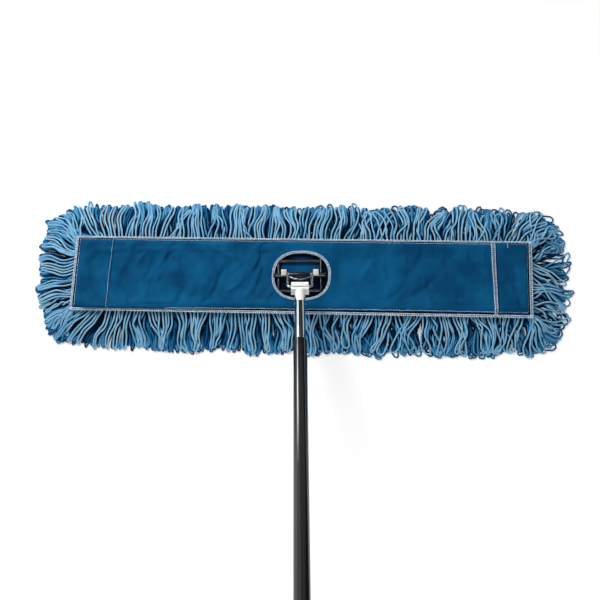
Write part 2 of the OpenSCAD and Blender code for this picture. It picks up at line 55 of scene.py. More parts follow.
# camera: nearly overhead, tilted a little up the head, as the photograph was taken
cameraView = {
    "lens": 70,
    "sensor": 36,
    "place": (0.0, -0.7740, 2.2584),
    "tilt": 17.957,
    "roll": -0.384,
}
cameraData = bpy.data.cameras.new("studioCamera")
cameraData.lens = cameraView["lens"]
cameraData.sensor_width = cameraView["sensor"]
cameraObject = bpy.data.objects.new("studioCamera", cameraData)
cameraObject.location = cameraView["place"]
cameraObject.rotation_mode = "ZYX"
cameraObject.rotation_euler = (math.radians(cameraView["tilt"]), 0, math.radians(cameraView["roll"]))
scene.collection.objects.link(cameraObject)
scene.camera = cameraObject
print("camera ready")


# shared helpers
def linear(hexColour):
    # sRGB hex to the linear values that shaders work in
    parts = [int(hexColour[i:i + 2], 16) / 255 for i in (1, 3, 5)]
    return [p / 12.92 if p <= 0.04045 else ((p + 0.055) / 1.055) ** 2.4 for p in parts] + [1.0]


def addNode(tree, kind, settings=None, inputs=None):
    # one node, with its settings, its ramp's stops, and its sockets set or linked
    node = tree.nodes.new("ShaderNode" + kind)
    for name, value in (settings or {}).items():
        if name == "stops":
            ramp = node.color_ramp.elements
            for i, (place, colour) in enumerate(value):
                stop = ramp[i] if i < len(ramp) else ramp.new(place)
                stop.position = place
                stop.color = linear(colour)
        else:
            setattr(node, name, value)
    for name, value in (inputs or {}).items():
        if isinstance(value, bpy.types.NodeSocket):
            tree.links.new(value, node.inputs[name])
        else:
            node.inputs[name].default_value = value
    return node


def clearNodes(owner):
    # the empty node tree of a material or a world
    owner.use_nodes = True
    owner.node_tree.nodes.clear()
    return owner.node_tree


def startMaterial(name):
    # a new material, its empty node tree and the coordinates of the piece that wears it
    material = bpy.data.materials.new(name)
    tree = clearNodes(material)
    return material, tree, addNode(tree, "TexCoord").outputs["Object"]


def closeMaterial(tree, inputs):
    # the Principled shader, with its sockets set or linked, on the material's output
    shader = addNode(tree, "BsdfPrincipled", None, inputs)
    addNode(tree, "OutputMaterial", None, {"Surface": shader.outputs[0]})


def meshPiece(name, points, faceSets, smooth=True):
    # a mesh object from arrays: each face set holds faces with the same number of corners
    mesh = bpy.data.meshes.new(name)
    corners = np.concatenate([f.ravel() for f in faceSets]).astype(np.int32)
    totals = np.concatenate([np.full(len(f), f.shape[1]) for f in faceSets])
    starts = np.concatenate([[0], np.cumsum(totals)[:-1]]).astype(np.int32)
    mesh.vertices.add(len(points))
    mesh.vertices.foreach_set("co", np.asarray(points, np.float32).ravel())
    mesh.loops.add(len(corners))
    mesh.loops.foreach_set("vertex_index", corners)
    mesh.polygons.add(len(totals))
    mesh.polygons.foreach_set("loop_start", starts)
    mesh.polygons.foreach_set("use_smooth", np.full(len(totals), smooth))
    mesh.update(calc_edges=True)
    mesh.validate()
    piece = bpy.data.objects.new(name, mesh)
    scene.collection.objects.link(piece)
    return piece


def gridFaces(lines, count):
    # quads between neighbouring lines of count points each
    first = (np.arange(lines - 1)[:, None] * count + np.arange(count - 1)).ravel()
    return np.stack([first, first + count, first + count + 1, first + 1], 1)


def paint(piece, material):
    piece.data.materials.clear()
    piece.data.materials.append(material)


def dress(piece, material, body, slot, *nodes):
    # material, body and the nodes that a piece stands for; slot, the record slot, is not used
    paint(piece, material)
    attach(piece, body)
    if nodes:
        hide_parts(*nodes)


def shadeSmooth(piece, sharpAngle=None):
    # smooth shading, with edges above an angle in degrees kept sharp
    for polygon in piece.data.polygons:
        polygon.use_smooth = True
    if sharpAngle:
        piece.data.set_sharp_from_angle(angle=math.radians(sharpAngle))


def pointValues(piece, name, values):
    attribute = piece.data.attributes.new(name, "FLOAT", "POINT")
    attribute.data.foreach_set("value", np.asarray(values, np.float32).ravel())


def readPoints(piece):
    co = np.empty(len(piece.data.vertices) * 3, np.float32)
    piece.data.vertices.foreach_get("co", co)
    return co.reshape(-1, 3).astype(float)


def writePoints(piece, points):
    piece.data.vertices.foreach_set("co", np.asarray(points, np.float32).ravel())
    piece.data.update()


def thicken(piece, thickness):
    # gives a sheet its cloth thickness, below its upper face
    solid = piece.modifiers.new("thickness", "SOLIDIFY")
    solid.thickness = thickness
    solid.offset = -1
    depsgraph = bpy.context.evaluated_depsgraph_get()
    made = bpy.data.meshes.new_from_object(piece.evaluated_get(depsgraph))
    piece.modifiers.clear()
    piece.data = made


def smoothStep(low, high, value):
    t = np.clip((value - low) / (high - low), 0, 1)
    return t * t * (3 - 2 * t)


def turned(x, y, heading):
    # distances along and across a heading
    u = x * math.cos(heading) + y * math.sin(heading)
    v = -x * math.sin(heading) + y * math.cos(heading)
    return u, v


def runLengths(paths):
    # the distance along each path to each of its points
    steps = np.linalg.norm(np.diff(paths, axis=1), axis=2)
    return np.concatenate([np.zeros((len(paths), 1)), np.cumsum(steps, 1)], 1)


def sweepTubes(paths, radius, sides, lobes=0, lobeDepth=0.0, twistPitch=1.0):
    # tubes along many paths at once, given as (tube, ring, xyz): points, quads, caps and lobe height
    tubes, rings = paths.shape[:2]
    along = np.gradient(paths, axis=1)
    along /= np.linalg.norm(along, axis=2, keepdims=True) + tiny * mm
    upright = np.abs(along[:, :1, 2:3]) > 0.9  # such a tube takes its first side from X, others from Z
    helper = np.where(upright, [[[1.0, 0, 0]]], [[[0, 0, 1.0]]])[:, 0]
    across = np.empty_like(along)
    first = np.cross(along[:, 0], helper)
    across[:, 0] = first / np.linalg.norm(first, axis=1, keepdims=True)
    for i in range(1, rings):
        carried = across[:, i - 1] - along[:, i] * np.sum(across[:, i - 1] * along[:, i], 1, keepdims=True)
        across[:, i] = carried / (np.linalg.norm(carried, axis=1, keepdims=True) + tiny * mm)
    over = np.cross(along, across)
    angle = 2 * math.pi * np.arange(sides) / sides
    lobe = np.zeros((tubes, rings, sides))
    if lobes:
        lobe = np.cos(lobes * (angle - 2 * math.pi * runLengths(paths)[..., None] / twistPitch))
    reach = radius * (1 + lobeDepth * lobe)
    points = (
        paths[:, :, None]
        + across[:, :, None] * (np.cos(angle) * reach)[..., None]
        + over[:, :, None] * (np.sin(angle) * reach)[..., None]
    ).reshape(-1, 3)
    k = np.arange(sides)
    ring = np.arange(rings - 1)[:, None] * sides
    following = (k + 1) % sides
    quad = np.stack([ring + k, ring + following, ring + sides + following, ring + sides + k], -1)
    base = (np.arange(tubes) * rings * sides)[:, None, None]
    quads = (quad.reshape(1, -1, 4) + base).reshape(-1, 4)
    caps = np.concatenate([base[:, 0] + k[::-1], base[:, 0] + (rings - 1) * sides + k])
    return points, quads, caps, lobe.reshape(-1)


def resample(paths, rings):
    # the same number of evenly spaced points on every path
    distance = runLengths(paths)
    out = np.empty((len(paths), rings, 3))
    for i in range(len(paths)):
        wanted = np.linspace(0, distance[i, -1], rings)
        for axis in range(3):
            out[i, :, axis] = np.interp(wanted, distance[i], paths[i, :, axis])
    for _ in range(2):  # rounds off the corners that straight sampling leaves
        out[:, 1:-1] = 0.25 * out[:, :-2] + 0.5 * out[:, 1:-1] + 0.25 * out[:, 2:]
    return out


# the cloth head sits a little askew on its frame: turned, sheared, and wider at its right end
headSkew = {
    "turn": -1.33,
    "shear": 0.0215,
    "taper": 0.0143,
    "halfLength": 465 * mm,
    "shift": (5.5 * mm, 1.0 * mm),
}


def askew(points):
    s = headSkew
    turn = math.radians(s["turn"])
    out = np.array(points, float)
    y = out[..., 1] * (1 + s["taper"] * out[..., 0] / s["halfLength"])
    x = out[..., 0] + s["shear"] * y
    out[..., 0] = math.cos(turn) * x - math.sin(turn) * y + s["shift"][0]
    out[..., 1] = math.sin(turn) * x + math.cos(turn) * y + s["shift"][1]
    return out


# materials

# Dyed cotton mop yarn, three-ply: matt and fuzzy, with painted light and shade: pale on top, darker below and
# between the plies
def cottonYarn():
    fibreSize = 1.2 * mm  # clumps of fibre, because single ones are finer than a pixel
    dyePatch = 22 * mm
    # from yarn painted dark as shade, through the dyed blue, to yarn painted pale as if lit on top
    shadesAndTones = [(0.0, "#001B38"), (0.25, "#094472"), (0.5, "#2A80B8"), (0.75, "#6ABBEA"), (1.0, "#A6DEFF")]
    material, tree, place = startMaterial("dyedCottonYarn")
    strand = addNode(tree, "Attribute", {"attribute_name": "tone"})
    ply = addNode(tree, "Attribute", {"attribute_name": "ply"})
    fibre = addNode(tree, "TexNoise", None, {
        "Vector": place, "Scale": 1 / fibreSize, "Detail": 3.0, "Roughness": 0.6})
    patch = addNode(tree, "TexNoise", None, {"Vector": place, "Scale": 1 / dyePatch, "Detail": 2.0})
    strandShadeAndTone = addNode(tree, "ValToRGB", {"stops": shadesAndTones}, {"Fac": strand.outputs["Fac"]})
    uneven = addNode(tree, "Mix", {"data_type": "RGBA", "blend_type": "MULTIPLY"}, {
        0: 0.25, 6: strandShadeAndTone.outputs[0], 7: patch.outputs["Fac"]})
    # painted shade: darker in the grooves between the plies
    groove = addNode(tree, "MapRange", None, {
        "Value": ply.outputs["Fac"], "From Min": -1.0, "From Max": 0.4, "To Min": 0.6, "To Max": 1.0})
    shaded = addNode(tree, "Mix", {"data_type": "RGBA", "blend_type": "MULTIPLY"}, {
        0: 1.0, 6: uneven.outputs[2], 7: groove.outputs[0]})
    bump = addNode(tree, "Bump", None, {
        "Height": fibre.outputs[0], "Strength": 0.5, "Distance": 0.4 * mm})
    closeMaterial(tree, {
        "Base Color": shaded.outputs[2], "Normal": bump.outputs[0], "Roughness": 0.9,
        "Specular IOR Level": 0.05, "Sheen Weight": 0.05, "Sheen Roughness": 0.4,
        "Sheen Tint": linear("#BFE2F6")})
    return material


# Woven polyester-cotton canvas, piece-dyed: fine twill lines, slow clouds in the dye, painted shade near
# black in folds and in shaded parts
def wovenCanvas(name, colourLow, colourHigh):
    twillPitch = 1.1 * mm  # about twice the real thread, so that it shows in a close view
    dyeCloud = 55 * mm
    material, tree, place = startMaterial(name)
    paintedShade = addNode(tree, "Attribute", {"attribute_name": "paintedShade"})
    twill = addNode(tree, "TexWave", {"wave_type": "BANDS", "bands_direction": "DIAGONAL"}, {
        "Vector": place, "Scale": 0.2 / twillPitch, "Distortion": 0.6, "Detail": 1.0})
    weft = addNode(tree, "TexWave", {"wave_type": "BANDS", "bands_direction": "X"}, {
        "Vector": place, "Scale": 0.31 / twillPitch, "Distortion": 0.4})
    weave = addNode(tree, "Math", {"operation": "MULTIPLY"}, {
        0: twill.outputs["Fac"], 1: weft.outputs["Fac"]})
    cloud = addNode(tree, "TexNoise", None, {"Vector": place, "Scale": 1 / dyeCloud, "Detail": 4.0})
    tone = addNode(tree, "ValToRGB", {"stops": [(0.36, colourLow), (0.64, colourHigh)]}, {
        "Fac": cloud.outputs["Fac"]})
    # painted shade: near black where the point value is 1, in the seam's fold and outside the lit part of the
    # backing
    shadeMixedTone = addNode(tree, "Mix", {"data_type": "RGBA"}, {
        0: paintedShade.outputs["Fac"], 6: tone.outputs[0], 7: linear("#041626")})
    bump = addNode(tree, "Bump", None, {
        "Height": weave.outputs[0], "Strength": 0.25, "Distance": 0.25 * mm})
    closeMaterial(tree, {
        "Base Color": shadeMixedTone.outputs[2], "Normal": bump.outputs[0], "Roughness": 0.7,
        "Specular IOR Level": 0.03})
    return material


# Spun polyester sewing thread: pale, slightly glossy, twisted from fine plies
def sewingThread():
    wearPatch = 4 * mm
    plyTwist = 0.7 * mm
    material, tree, place = startMaterial("spunPolyesterThread")
    speck = addNode(tree, "TexNoise", None, {"Vector": place, "Scale": 1 / wearPatch, "Detail": 2.0})
    tone = addNode(tree, "ValToRGB", {"stops": [(0.36, "#A6CCEE"), (0.6, "#F2FAFF")]}, {
        "Fac": speck.outputs["Fac"]})
    twist = addNode(tree, "TexNoise", None, {"Vector": place, "Scale": 1 / plyTwist, "Detail": 1.0})
    bump = addNode(tree, "Bump", None, {
        "Height": twist.outputs[0], "Strength": 0.4, "Distance": 0.2 * mm})
    closeMaterial(tree, {
        "Base Color": tone.outputs[0], "Normal": bump.outputs[0], "Roughness": 0.5, "Specular IOR Level": 0.4,
        "Sheen Weight": 0.15})
    return material


# A hard surface: colour and roughness mottle together, and drawn lines or orange peel break up the gloss
def hardFinish(name, colours, rough, mottle, grain, look):
    material, tree, place = startMaterial(name)
    mottled = addNode(tree, "TexNoise", None, {"Vector": place, "Scale": 1 / mottle, "Detail": 3.0})
    tone = addNode(tree, "ValToRGB", {"stops": list(zip(look["spread"], colours))}, {
        "Fac": mottled.outputs["Fac"]})
    roughness = addNode(tree, "MapRange", None, {
        "Value": mottled.outputs["Fac"], "From Min": 0.3, "From Max": 0.7,
        "To Min": rough[0], "To Max": rough[1]})
    relief = addNode(tree, "TexNoise", None, {
        "Vector": place, "Scale": 1 / grain, "Detail": look["detail"]})
    bump = addNode(tree, "Bump", None, {
        "Height": relief.outputs[0], "Strength": look["strength"], "Distance": look["depth"]})
    closeMaterial(tree, {
        "Base Color": tone.outputs[0], "Roughness": roughness.outputs[0], "Normal": bump.outputs[0],
        **look["sockets"]})
    return material


metalLook = {"spread": (0.35, 0.65), "detail": 2.0, "strength": 0.08, "depth": 0.1 * mm,
             "sockets": {"Metallic": 1.0}}


def mouldedLook(strength, level):
    # strength of the peel, and how strongly the surface reflects
    return {"spread": (0.3, 0.7), "detail": 1.0, "strength": strength, "depth": 0.15 * mm,
            "sockets": {"Specular IOR Level": level}}


cloud = 30 * mm  # slow clouding in moulded and coated surfaces
yarnFinish = cottonYarn()
canvasFinish = wovenCanvas("wovenCanvas", "#07456F", "#0C5B89")
pocketFinish = wovenCanvas("wovenCanvasPocket", "#07446D", "#0B5884")
baseFinish = wovenCanvas("wovenBackingCloth", "#0B4A78", "#11639A")
threadFinish = sewingThread()
# zinc-plated wire: pale grey with a soft shine
wireFinish = hardFinish("zincPlatedWire", ("#A9ADB2", "#C9CCD0"), (0.22, 0.34), 9 * mm, 0.6 * mm, metalLook)
# drawn steel wire, bare: mid grey, with sharp bright lines along it
frameFinish = hardFinish("drawnSteelWire", ("#7C8087", "#9A9EA5"), (0.08, 0.14), 9 * mm, 0.6 * mm, metalLook)
# the same wire, painted darker as shade for the cross and side wires: dark, with a narrow shine
shadedWireFinish = hardFinish("shadedSteelWire", ("#43464B", "#5A5E64"), (0.1, 0.17), 9 * mm, 0.6 * mm, metalLook)
# blackened steel sheet: nearly black and dull
darkSteel = hardFinish("blackenedSteel", ("#33373D", "#4A5058"), (0.3, 0.45), 8 * mm, 0.5 * mm, metalLook)
# nickel plate on small turned parts: warm and bright
platedFinish = hardFinish(
    "brightNickelPlate", ("#C4C6C8", "#DCDDDE"), (0.18, 0.3), 12 * mm, 0.8 * mm, metalLook)
# chrome plate on a rolled tube: a mirror with long streaks
chromeFinish = hardFinish(
    "chromePlatedTube", ("#BEC1C4", "#CBCED1"), (0.06, 0.12), 25 * mm, 0.9 * mm, metalLook)
# moulded acetal: clean white with a soft shine
clipFinish = hardFinish(
    "mouldedWhiteAcetal", ("#F4F4F0", "#FCFCF9"), (0.28, 0.4), cloud, 0.7 * mm, mouldedLook(0.05, 0.5))
# moulded nylon: yellower and duller than acetal
nylonFinish = hardFinish(
    "mouldedWhiteNylon", ("#EDE6D8", "#F7F4EC"), (0.38, 0.5), cloud, 0.8 * mm, mouldedLook(0.06, 0.5))
# stoved enamel on the handle tube: black with one crisp bright line
blackCoat = hardFinish(
    "glossBlackEnamel", ("#101113", "#17191B"), (0.05, 0.08), cloud, 1.5 * mm, mouldedLook(0.03, 0.42))
# moulded polypropylene: dark grey, finely textured and dull
blackPlastic = hardFinish(
    "mouldedBlackPolypropylene", ("#1B1C1E", "#25272A"), (0.4, 0.55), cloud, 0.6 * mm, mouldedLook(0.1, 0.4))
print("materials ready")


# fringe: looped yarns round the head in five layers, settled against each other
# it is tidy at the left and tousled at the right
fringeSet = {
    "halfLength": 465 * mm,
    "halfWidth": 80 * mm,
    "radius": 1.7 * mm,
    "grooveDepth": 0.12,
    "reach": {"front": 83 * mm, "rear": 87 * mm, "left": 79 * mm, "right": 80 * mm},
    # gather is how far a layer joins the bunches and partings of the top one, loose how far it waves
    # each layer's tone is painted shade: the lower a layer lies, the darker its yarn
    "layers": [
        {"pitch": 7.4 * mm, "root": 3.6 * mm, "tip": 1.9 * mm, "puff": 0.4 * mm, "short": 7 * mm,
         "tone": 0.16, "gather": 0.0, "loose": 0.25},
        {"pitch": 11.0 * mm, "root": 8.0 * mm, "tip": 3.2 * mm, "puff": 1.4 * mm, "short": 0.0,
         "tone": 0.4, "gather": 0.2, "loose": 0.8},
        {"pitch": 12.0 * mm, "root": 12.4 * mm, "tip": 4.8 * mm, "puff": 2.6 * mm, "short": 0.0,
         "tone": 0.52, "gather": 0.5, "loose": 1.0},
        {"pitch": 13.0 * mm, "root": 16.6 * mm, "tip": 6.6 * mm, "puff": 3.8 * mm, "short": 0.0,
         "tone": 0.72, "gather": 0.8, "loose": 1.0},
        {"pitch": 13.8 * mm, "root": 20.4 * mm, "tip": 8.6 * mm, "puff": 4.6 * mm, "short": 1 * mm,
         "tone": 1.0, "gather": 1.0, "loose": 1.0},
    ],
    "toneSpread": 0.1,
    # painted shade: the share of its tone that yarn keeps where other yarn covers it
    "coveredShade": 0.06,
    "tuck": 7 * mm,
    # stretches that stand out longer or shorter: middle, spread and change, all in mm
    "trims": [
        (-440, 80, 34, 15), (-230, 80, 90, 7), (-60, 80, 60, 4), (310, 80, 60, -3), (430, 80, 20, 8),
        (462, 77, 12, -6), (465, 25, 42, 12), (465, -60, 16, 5),
        (440, -80, 40, -8), (250, -80, 110, -3), (30, -80, 60, 6), (-425, -80, 28, 8),
        (-465, -72, 22, -18), (-465, -30, 18, 5), (-465, 15, 20, -4), (-465, 70, 16, -6),
    ],
    # loops added in a thin place: foot in mm and the way they point, and the layers that get them
    "fills": [(-464, 59, 154), (-464, 52, 161), (-464, 45, 168)],
    "fillLayers": (1, 2, 4),
    "tidyEnd": -120 * mm,
    "looseEnd": 160 * mm,
    "wildFrom": 400 * mm,
    "wildShare": 0.7,
    # each pair: where the fringe is tidy, and where it is tousled
    "reachSpread": (3.0 * mm, 5.5 * mm),
    "tipGapLow": (4.5 * mm, 6.0 * mm),
    "tipGapHigh": (8.0 * mm, 17.0 * mm),
    "looseLean": (2.5, 7.0),
    "bend": (4.0 * mm, 9.0 * mm),
    "sway": (1.8 * mm, 2.6 * mm),
    "comb": (3.4 * mm, 4.6 * mm),
    "crossShare": (0.22, 0.5),
    "reachWave": 3.0 * mm,
    "heightSpread": 0.9 * mm,
    # along a loop, from 0 at its feet to 1 at its tip: where the legs part, and where twisted ones cross
    "legsPart": (0.4, 0.86),
    "legsCross": (0.1, 0.62),
    "crossTurns": {1: 0.38, -1: 0.38, 2: 0.12, -2: 0.12},  # half turns, and the share of each
    "dropPower": 1.7,
    "waveLine": (8.0, 0.09, 6),  # length and step of one long wavy line, and the last place to start on it
    "waveRun": (0.42, 0.5),  # how much of it a loop reads for both legs, and for what parts them
    "footJitter": 0.25,
    # shared leans: how far along the edge one runs, and its size in degrees
    "wideLean": (75 * mm, 9.0),
    "closeLean": (24 * mm, 7.0),
    "bunch": (20 * mm, 44 * mm),
    "bunchPull": 0.5,
    "fanAngle": 45,
    "fanRun": {"front": (150 * mm, 60 * mm), "right": (46 * mm, 46 * mm), "rear": (80 * mm, 90 * mm),
               "left": (46 * mm, 46 * mm)},
    "cornerFan": (-34, -17, 0, 17, 34),
    "cornerSpread": 4,
    "cornerInset": 3 * mm,
    "combSize": 16 * mm,
    "combWaves": 7,
    "points": 56,
    "rings": 68,
    "sides": 8,
    # cells, depth and spare room of the painted shade on covered yarn
    "coverCell": 2.6 * mm,
    "coverDepth": 5.0 * mm,
    "coverSpare": 1.2 * mm,
    "seed": 11,
}
settleSet = {
    "steps": 36,
    "fall": 0.22 * mm,
    "spacing": 1.86,  # between the middles of strands that touch, in yarn radii
    "push": 0.42,  # share of an overlap that one step clears
    "crowd": 0.6,  # how far many pushes on one point are averaged
    "lengthRounds": 3,
    "stiffness": 0.022,
    "ownPoints": 4,  # neighbours on one strand that never push each other
}
yarnPly = {"count": 3, "pitch": 18 * mm}


def yarnPiece(name, paths, radius, sides, grooveDepth, tone, node):
    # plied yarn along each path, with its tone and painted shade at each ring and the height of its plies as
    # point values
    points, quads, caps, lobe = sweepTubes(
        paths, radius, sides, yarnPly["count"], grooveDepth, yarnPly["pitch"])
    piece = meshPiece(name, points, [quads, caps])
    pointValues(piece, "tone", np.repeat(tone.ravel(), sides))
    pointValues(piece, "ply", lobe)
    dress(piece, yarnFinish, "head", "yarn", node)
    print(name, len(paths), "loops", len(quads), "faces")


def smoothNoise(rng, length, step):
    # a smooth random line over a run, for leans that neighbours share
    knots = rng.normal(0, 1, int(length / step) + 4)

    def value(place):
        t = np.clip(place / step, 0, len(knots) - 2.001)
        i = t.astype(int)
        f = smoothStep(0, 1, t - i)
        return knots[i] * (1 - f) + knots[i + 1] * f
    return value


def edgeRuns():
    # the four edges: name, start, the way along it and its length
    hx, hy = fringeSet["halfLength"], fringeSet["halfWidth"]
    return [
        ("front", np.array([-hx, -hy]), np.array([1.0, 0.0]), 2 * hx),
        ("right", np.array([hx, -hy]), np.array([0.0, 1.0]), 2 * hy),
        ("rear", np.array([hx, hy]), np.array([-1.0, 0.0]), 2 * hx),
        ("left", np.array([-hx, hy]), np.array([0.0, -1.0]), 2 * hy),
    ]


def edgeLeans(rng):
    # leans that every layer of an edge shares, so that bunches and partings run down through the fringe
    s = fringeSet
    leans = {}
    for name, _, _, length in edgeRuns():
        marks = [0.0]
        while marks[-1] < length + s["bunch"][1]:
            marks.append(marks[-1] + rng.uniform(*s["bunch"]))
        wide = smoothNoise(rng, length, s["wideLean"][0])
        close = smoothNoise(rng, length, s["closeLean"][0])
        leans[name] = (wide, close, np.array(marks))
    return leans


def tousled(feet, name):
    # a setting at each foot, from its tidy value on the left to its tousled value on the right
    s = fringeSet
    tidy, loose = s[name]
    share = smoothStep(s["tidyEnd"], s["looseEnd"], feet[:, 0])
    share = share + s["wildShare"] * smoothStep(s["wildFrom"], s["halfLength"], feet[:, 0])
    return tidy + (loose - tidy) * share


def fringeStations(rng, layer, leans):
    # feet along the four edges with the way each loop points, and the edge it belongs to
    s = fringeSet
    gather = s["layers"][layer]["gather"]
    feet, headings, names = [], [], []
    for name, start, way, length in edgeRuns():
        outward = np.array([way[1], -way[0]])
        count = int(round(length / s["layers"][layer]["pitch"]))
        jitter = rng.uniform(-s["footJitter"], s["footJitter"], count)
        place = (np.arange(count) + 0.5 + jitter) * length / count
        wide, close, marks = leans[name]
        foot = start + way * place[:, None]
        lean = wide(place) * s["wideLean"][1] + gather * close(place) * s["closeLean"][1]
        lean += rng.normal(0, 1, count) * tousled(foot, "looseLean")
        nearest = marks[np.abs(marks[None] - place[:, None]).argmin(1)]
        lean += np.degrees(np.arctan2(gather * s["bunchPull"] * (nearest - place), s["reach"][name] * 0.5))
        first, last = s["fanRun"][name]
        fan = s["fanAngle"] * (smoothStep(0, first, place) - smoothStep(0, last, length - place))
        feet.extend(foot)
        headings.extend(np.degrees(np.arctan2(outward[1], outward[0])) + lean + fan)
        names.extend([name] * count)
    hx, hy = s["halfLength"] - s["cornerInset"], s["halfWidth"] - s["cornerInset"]
    for cornerX, cornerY in ((-1, -1), (1, -1), (1, 1), (-1, 1)):
        middle = math.degrees(math.atan2(cornerY, cornerX))
        for offset in s["cornerFan"]:
            feet.append(np.array([cornerX * hx, cornerY * hy]))
            headings.append(middle + offset + rng.normal(0, s["cornerSpread"]))
            names.append("right" if cornerX > 0 else "left")
    return np.array(feet), np.radians(headings), np.array(names)


def combWaves(rng):
    # slow waves that neighbouring strands of every layer share, as after a hand has passed along the fringe
    size = fringeSet["combSize"]
    waves = []
    for _ in range(fringeSet["combWaves"]):
        across = rng.uniform(-1, 1, 2) / size
        down = rng.uniform(0.5, 1.4) / size
        waves.append((across, down, rng.uniform(0, 2 * math.pi)))

    def value(feet, along):
        total = 0
        for across, down, phase in waves:
            total = total + np.sin((feet @ across)[:, None] + down * along + phase)
        return total / math.sqrt(len(waves) / 2)
    return value


def trimmed(feet):
    # how much longer the fringe is at each foot, each stretch fading into its neighbours
    total = np.zeros(len(feet))
    for x, y, spread, change in fringeSet["trims"]:
        away = np.hypot(feet[:, 0] / mm - x, feet[:, 1] / mm - y) / spread
        total += change * mm * np.exp(-away ** 2)
    return total


def hairpins(rng, layer, feet, headings, names, comb):
    # the starting shape of each loop: two wavy legs, close at first, and an open round tip near the floor
    s, depth = fringeSet, fringeSet["layers"][layer]
    count, n = len(feet), s["points"]
    t = np.linspace(0, 1, n)
    leg = np.where(t < 0.5, 1.0, -1.0)[None]
    share = (1 - np.abs(2 * t - 1))[None] * np.ones((count, 1))  # 0 at both feet and 1 at the tip
    reach = np.array([s["reach"][name] for name in names])
    reach = reach + rng.normal(0, 1, count) * tousled(feet, "reachSpread")
    reach = reach + s["reachWave"] * comb(feet, np.zeros((count, 1)))[:, 0] - depth["short"] + trimmed(feet)
    low, high = tousled(feet, "tipGapLow"), tousled(feet, "tipGapHigh")
    tipGap = low + (high - low) * rng.uniform(0, 1, count)
    rootGap = depth["pitch"] / 2
    width = rootGap + (tipGap - rootGap)[:, None] * smoothStep(*s["legsPart"], share)
    tipShare = (tipGap / 2 / reach)[:, None]
    tip = np.clip((share - 1 + tipShare) / tipShare, 0, 1)
    side = -leg * np.sqrt(np.clip(1 - tip ** 2, 0, 1))
    # the twist in the yarn turns some loops over, so that their legs cross once or twice
    crossed = rng.uniform(0, 1, count) < tousled(feet, "crossShare")
    turns, chances = zip(*s["crossTurns"].items())
    turns = (crossed * rng.choice(turns, count, p=chances))[:, None]
    roll = math.pi * turns * smoothStep(*s["legsCross"], share)
    along = share * reach[:, None] - s["tuck"]
    lineLength, lineStep, lastStart = s["waveLine"]
    wave = smoothNoise(rng, lineLength, lineStep)
    both = wave(share * s["waveRun"][0] + rng.uniform(0, lastStart, (count, 1)))
    legs = leg * wave(share * s["waveRun"][1] + rng.uniform(0, lastStart, (count, 1)))
    swayed = tousled(feet, "sway")[:, None]
    sway = swayed * both * share + 0.5 * swayed * legs * np.sin(np.pi * share)
    bend = (rng.normal(0, 1, count) * tousled(feet, "bend"))[:, None] * share ** 2
    shared = tousled(feet, "comb")[:, None] * comb(feet, along) * smoothStep(0, 0.5, share)
    across = side * width / 2 * np.cos(roll) + depth["loose"] * (sway + bend + shared)
    arch = np.sin(np.pi * np.clip(share * 1.1, 0, 1)) * depth["puff"]
    drop = share ** s["dropPower"]
    height = depth["root"] * (1 - drop) + depth["tip"] * drop + arch
    height = height + rng.normal(0, s["heightSpread"], (count, 1)) * share + side * width / 2 * np.sin(roll)
    ahead = np.stack([np.cos(headings), np.sin(headings)], 1)
    left = np.stack([-np.sin(headings), np.cos(headings)], 1)
    path = np.empty((count, n, 3))
    path[..., :2] = feet[:, None] + ahead[:, None] * along[..., None] + left[:, None] * across[..., None]
    path[..., 2] = np.maximum(height, s["radius"])
    return path


def closePairs(points, reach):
    # pairs of points that may lie within reach of each other, by sorting them into cells
    cell = np.floor((points - points.min(0)) / reach).astype(np.int64) + 1
    span = cell.max(0) + 2
    key = (cell[:, 0] * span[1] + cell[:, 1]) * span[2] + cell[:, 2]
    order = np.argsort(key, kind="stable")
    sortedKey = key[order]
    firsts, seconds = [], []
    moves = [(x, y, z) for x in (-1, 0, 1) for y in (-1, 0, 1) for z in (-1, 0, 1)]
    for move in moves[13:]:  # the point's own cell and half of its neighbours, so that no pair comes twice
        target = key + (move[0] * span[1] + move[1]) * span[2] + move[2]
        low = np.searchsorted(sortedKey, target, "left")
        count = np.searchsorted(sortedKey, target, "right") - low
        a = np.repeat(np.arange(len(points)), count)
        step = np.arange(len(a)) - np.repeat(np.cumsum(count) - count, count)
        b = order[np.repeat(low, count) + step]
        keep = a < b if move == (0, 0, 0) else np.ones(len(a), bool)
        firsts.append(a[keep])
        seconds.append(b[keep])
    return np.concatenate(firsts), np.concatenate(seconds)


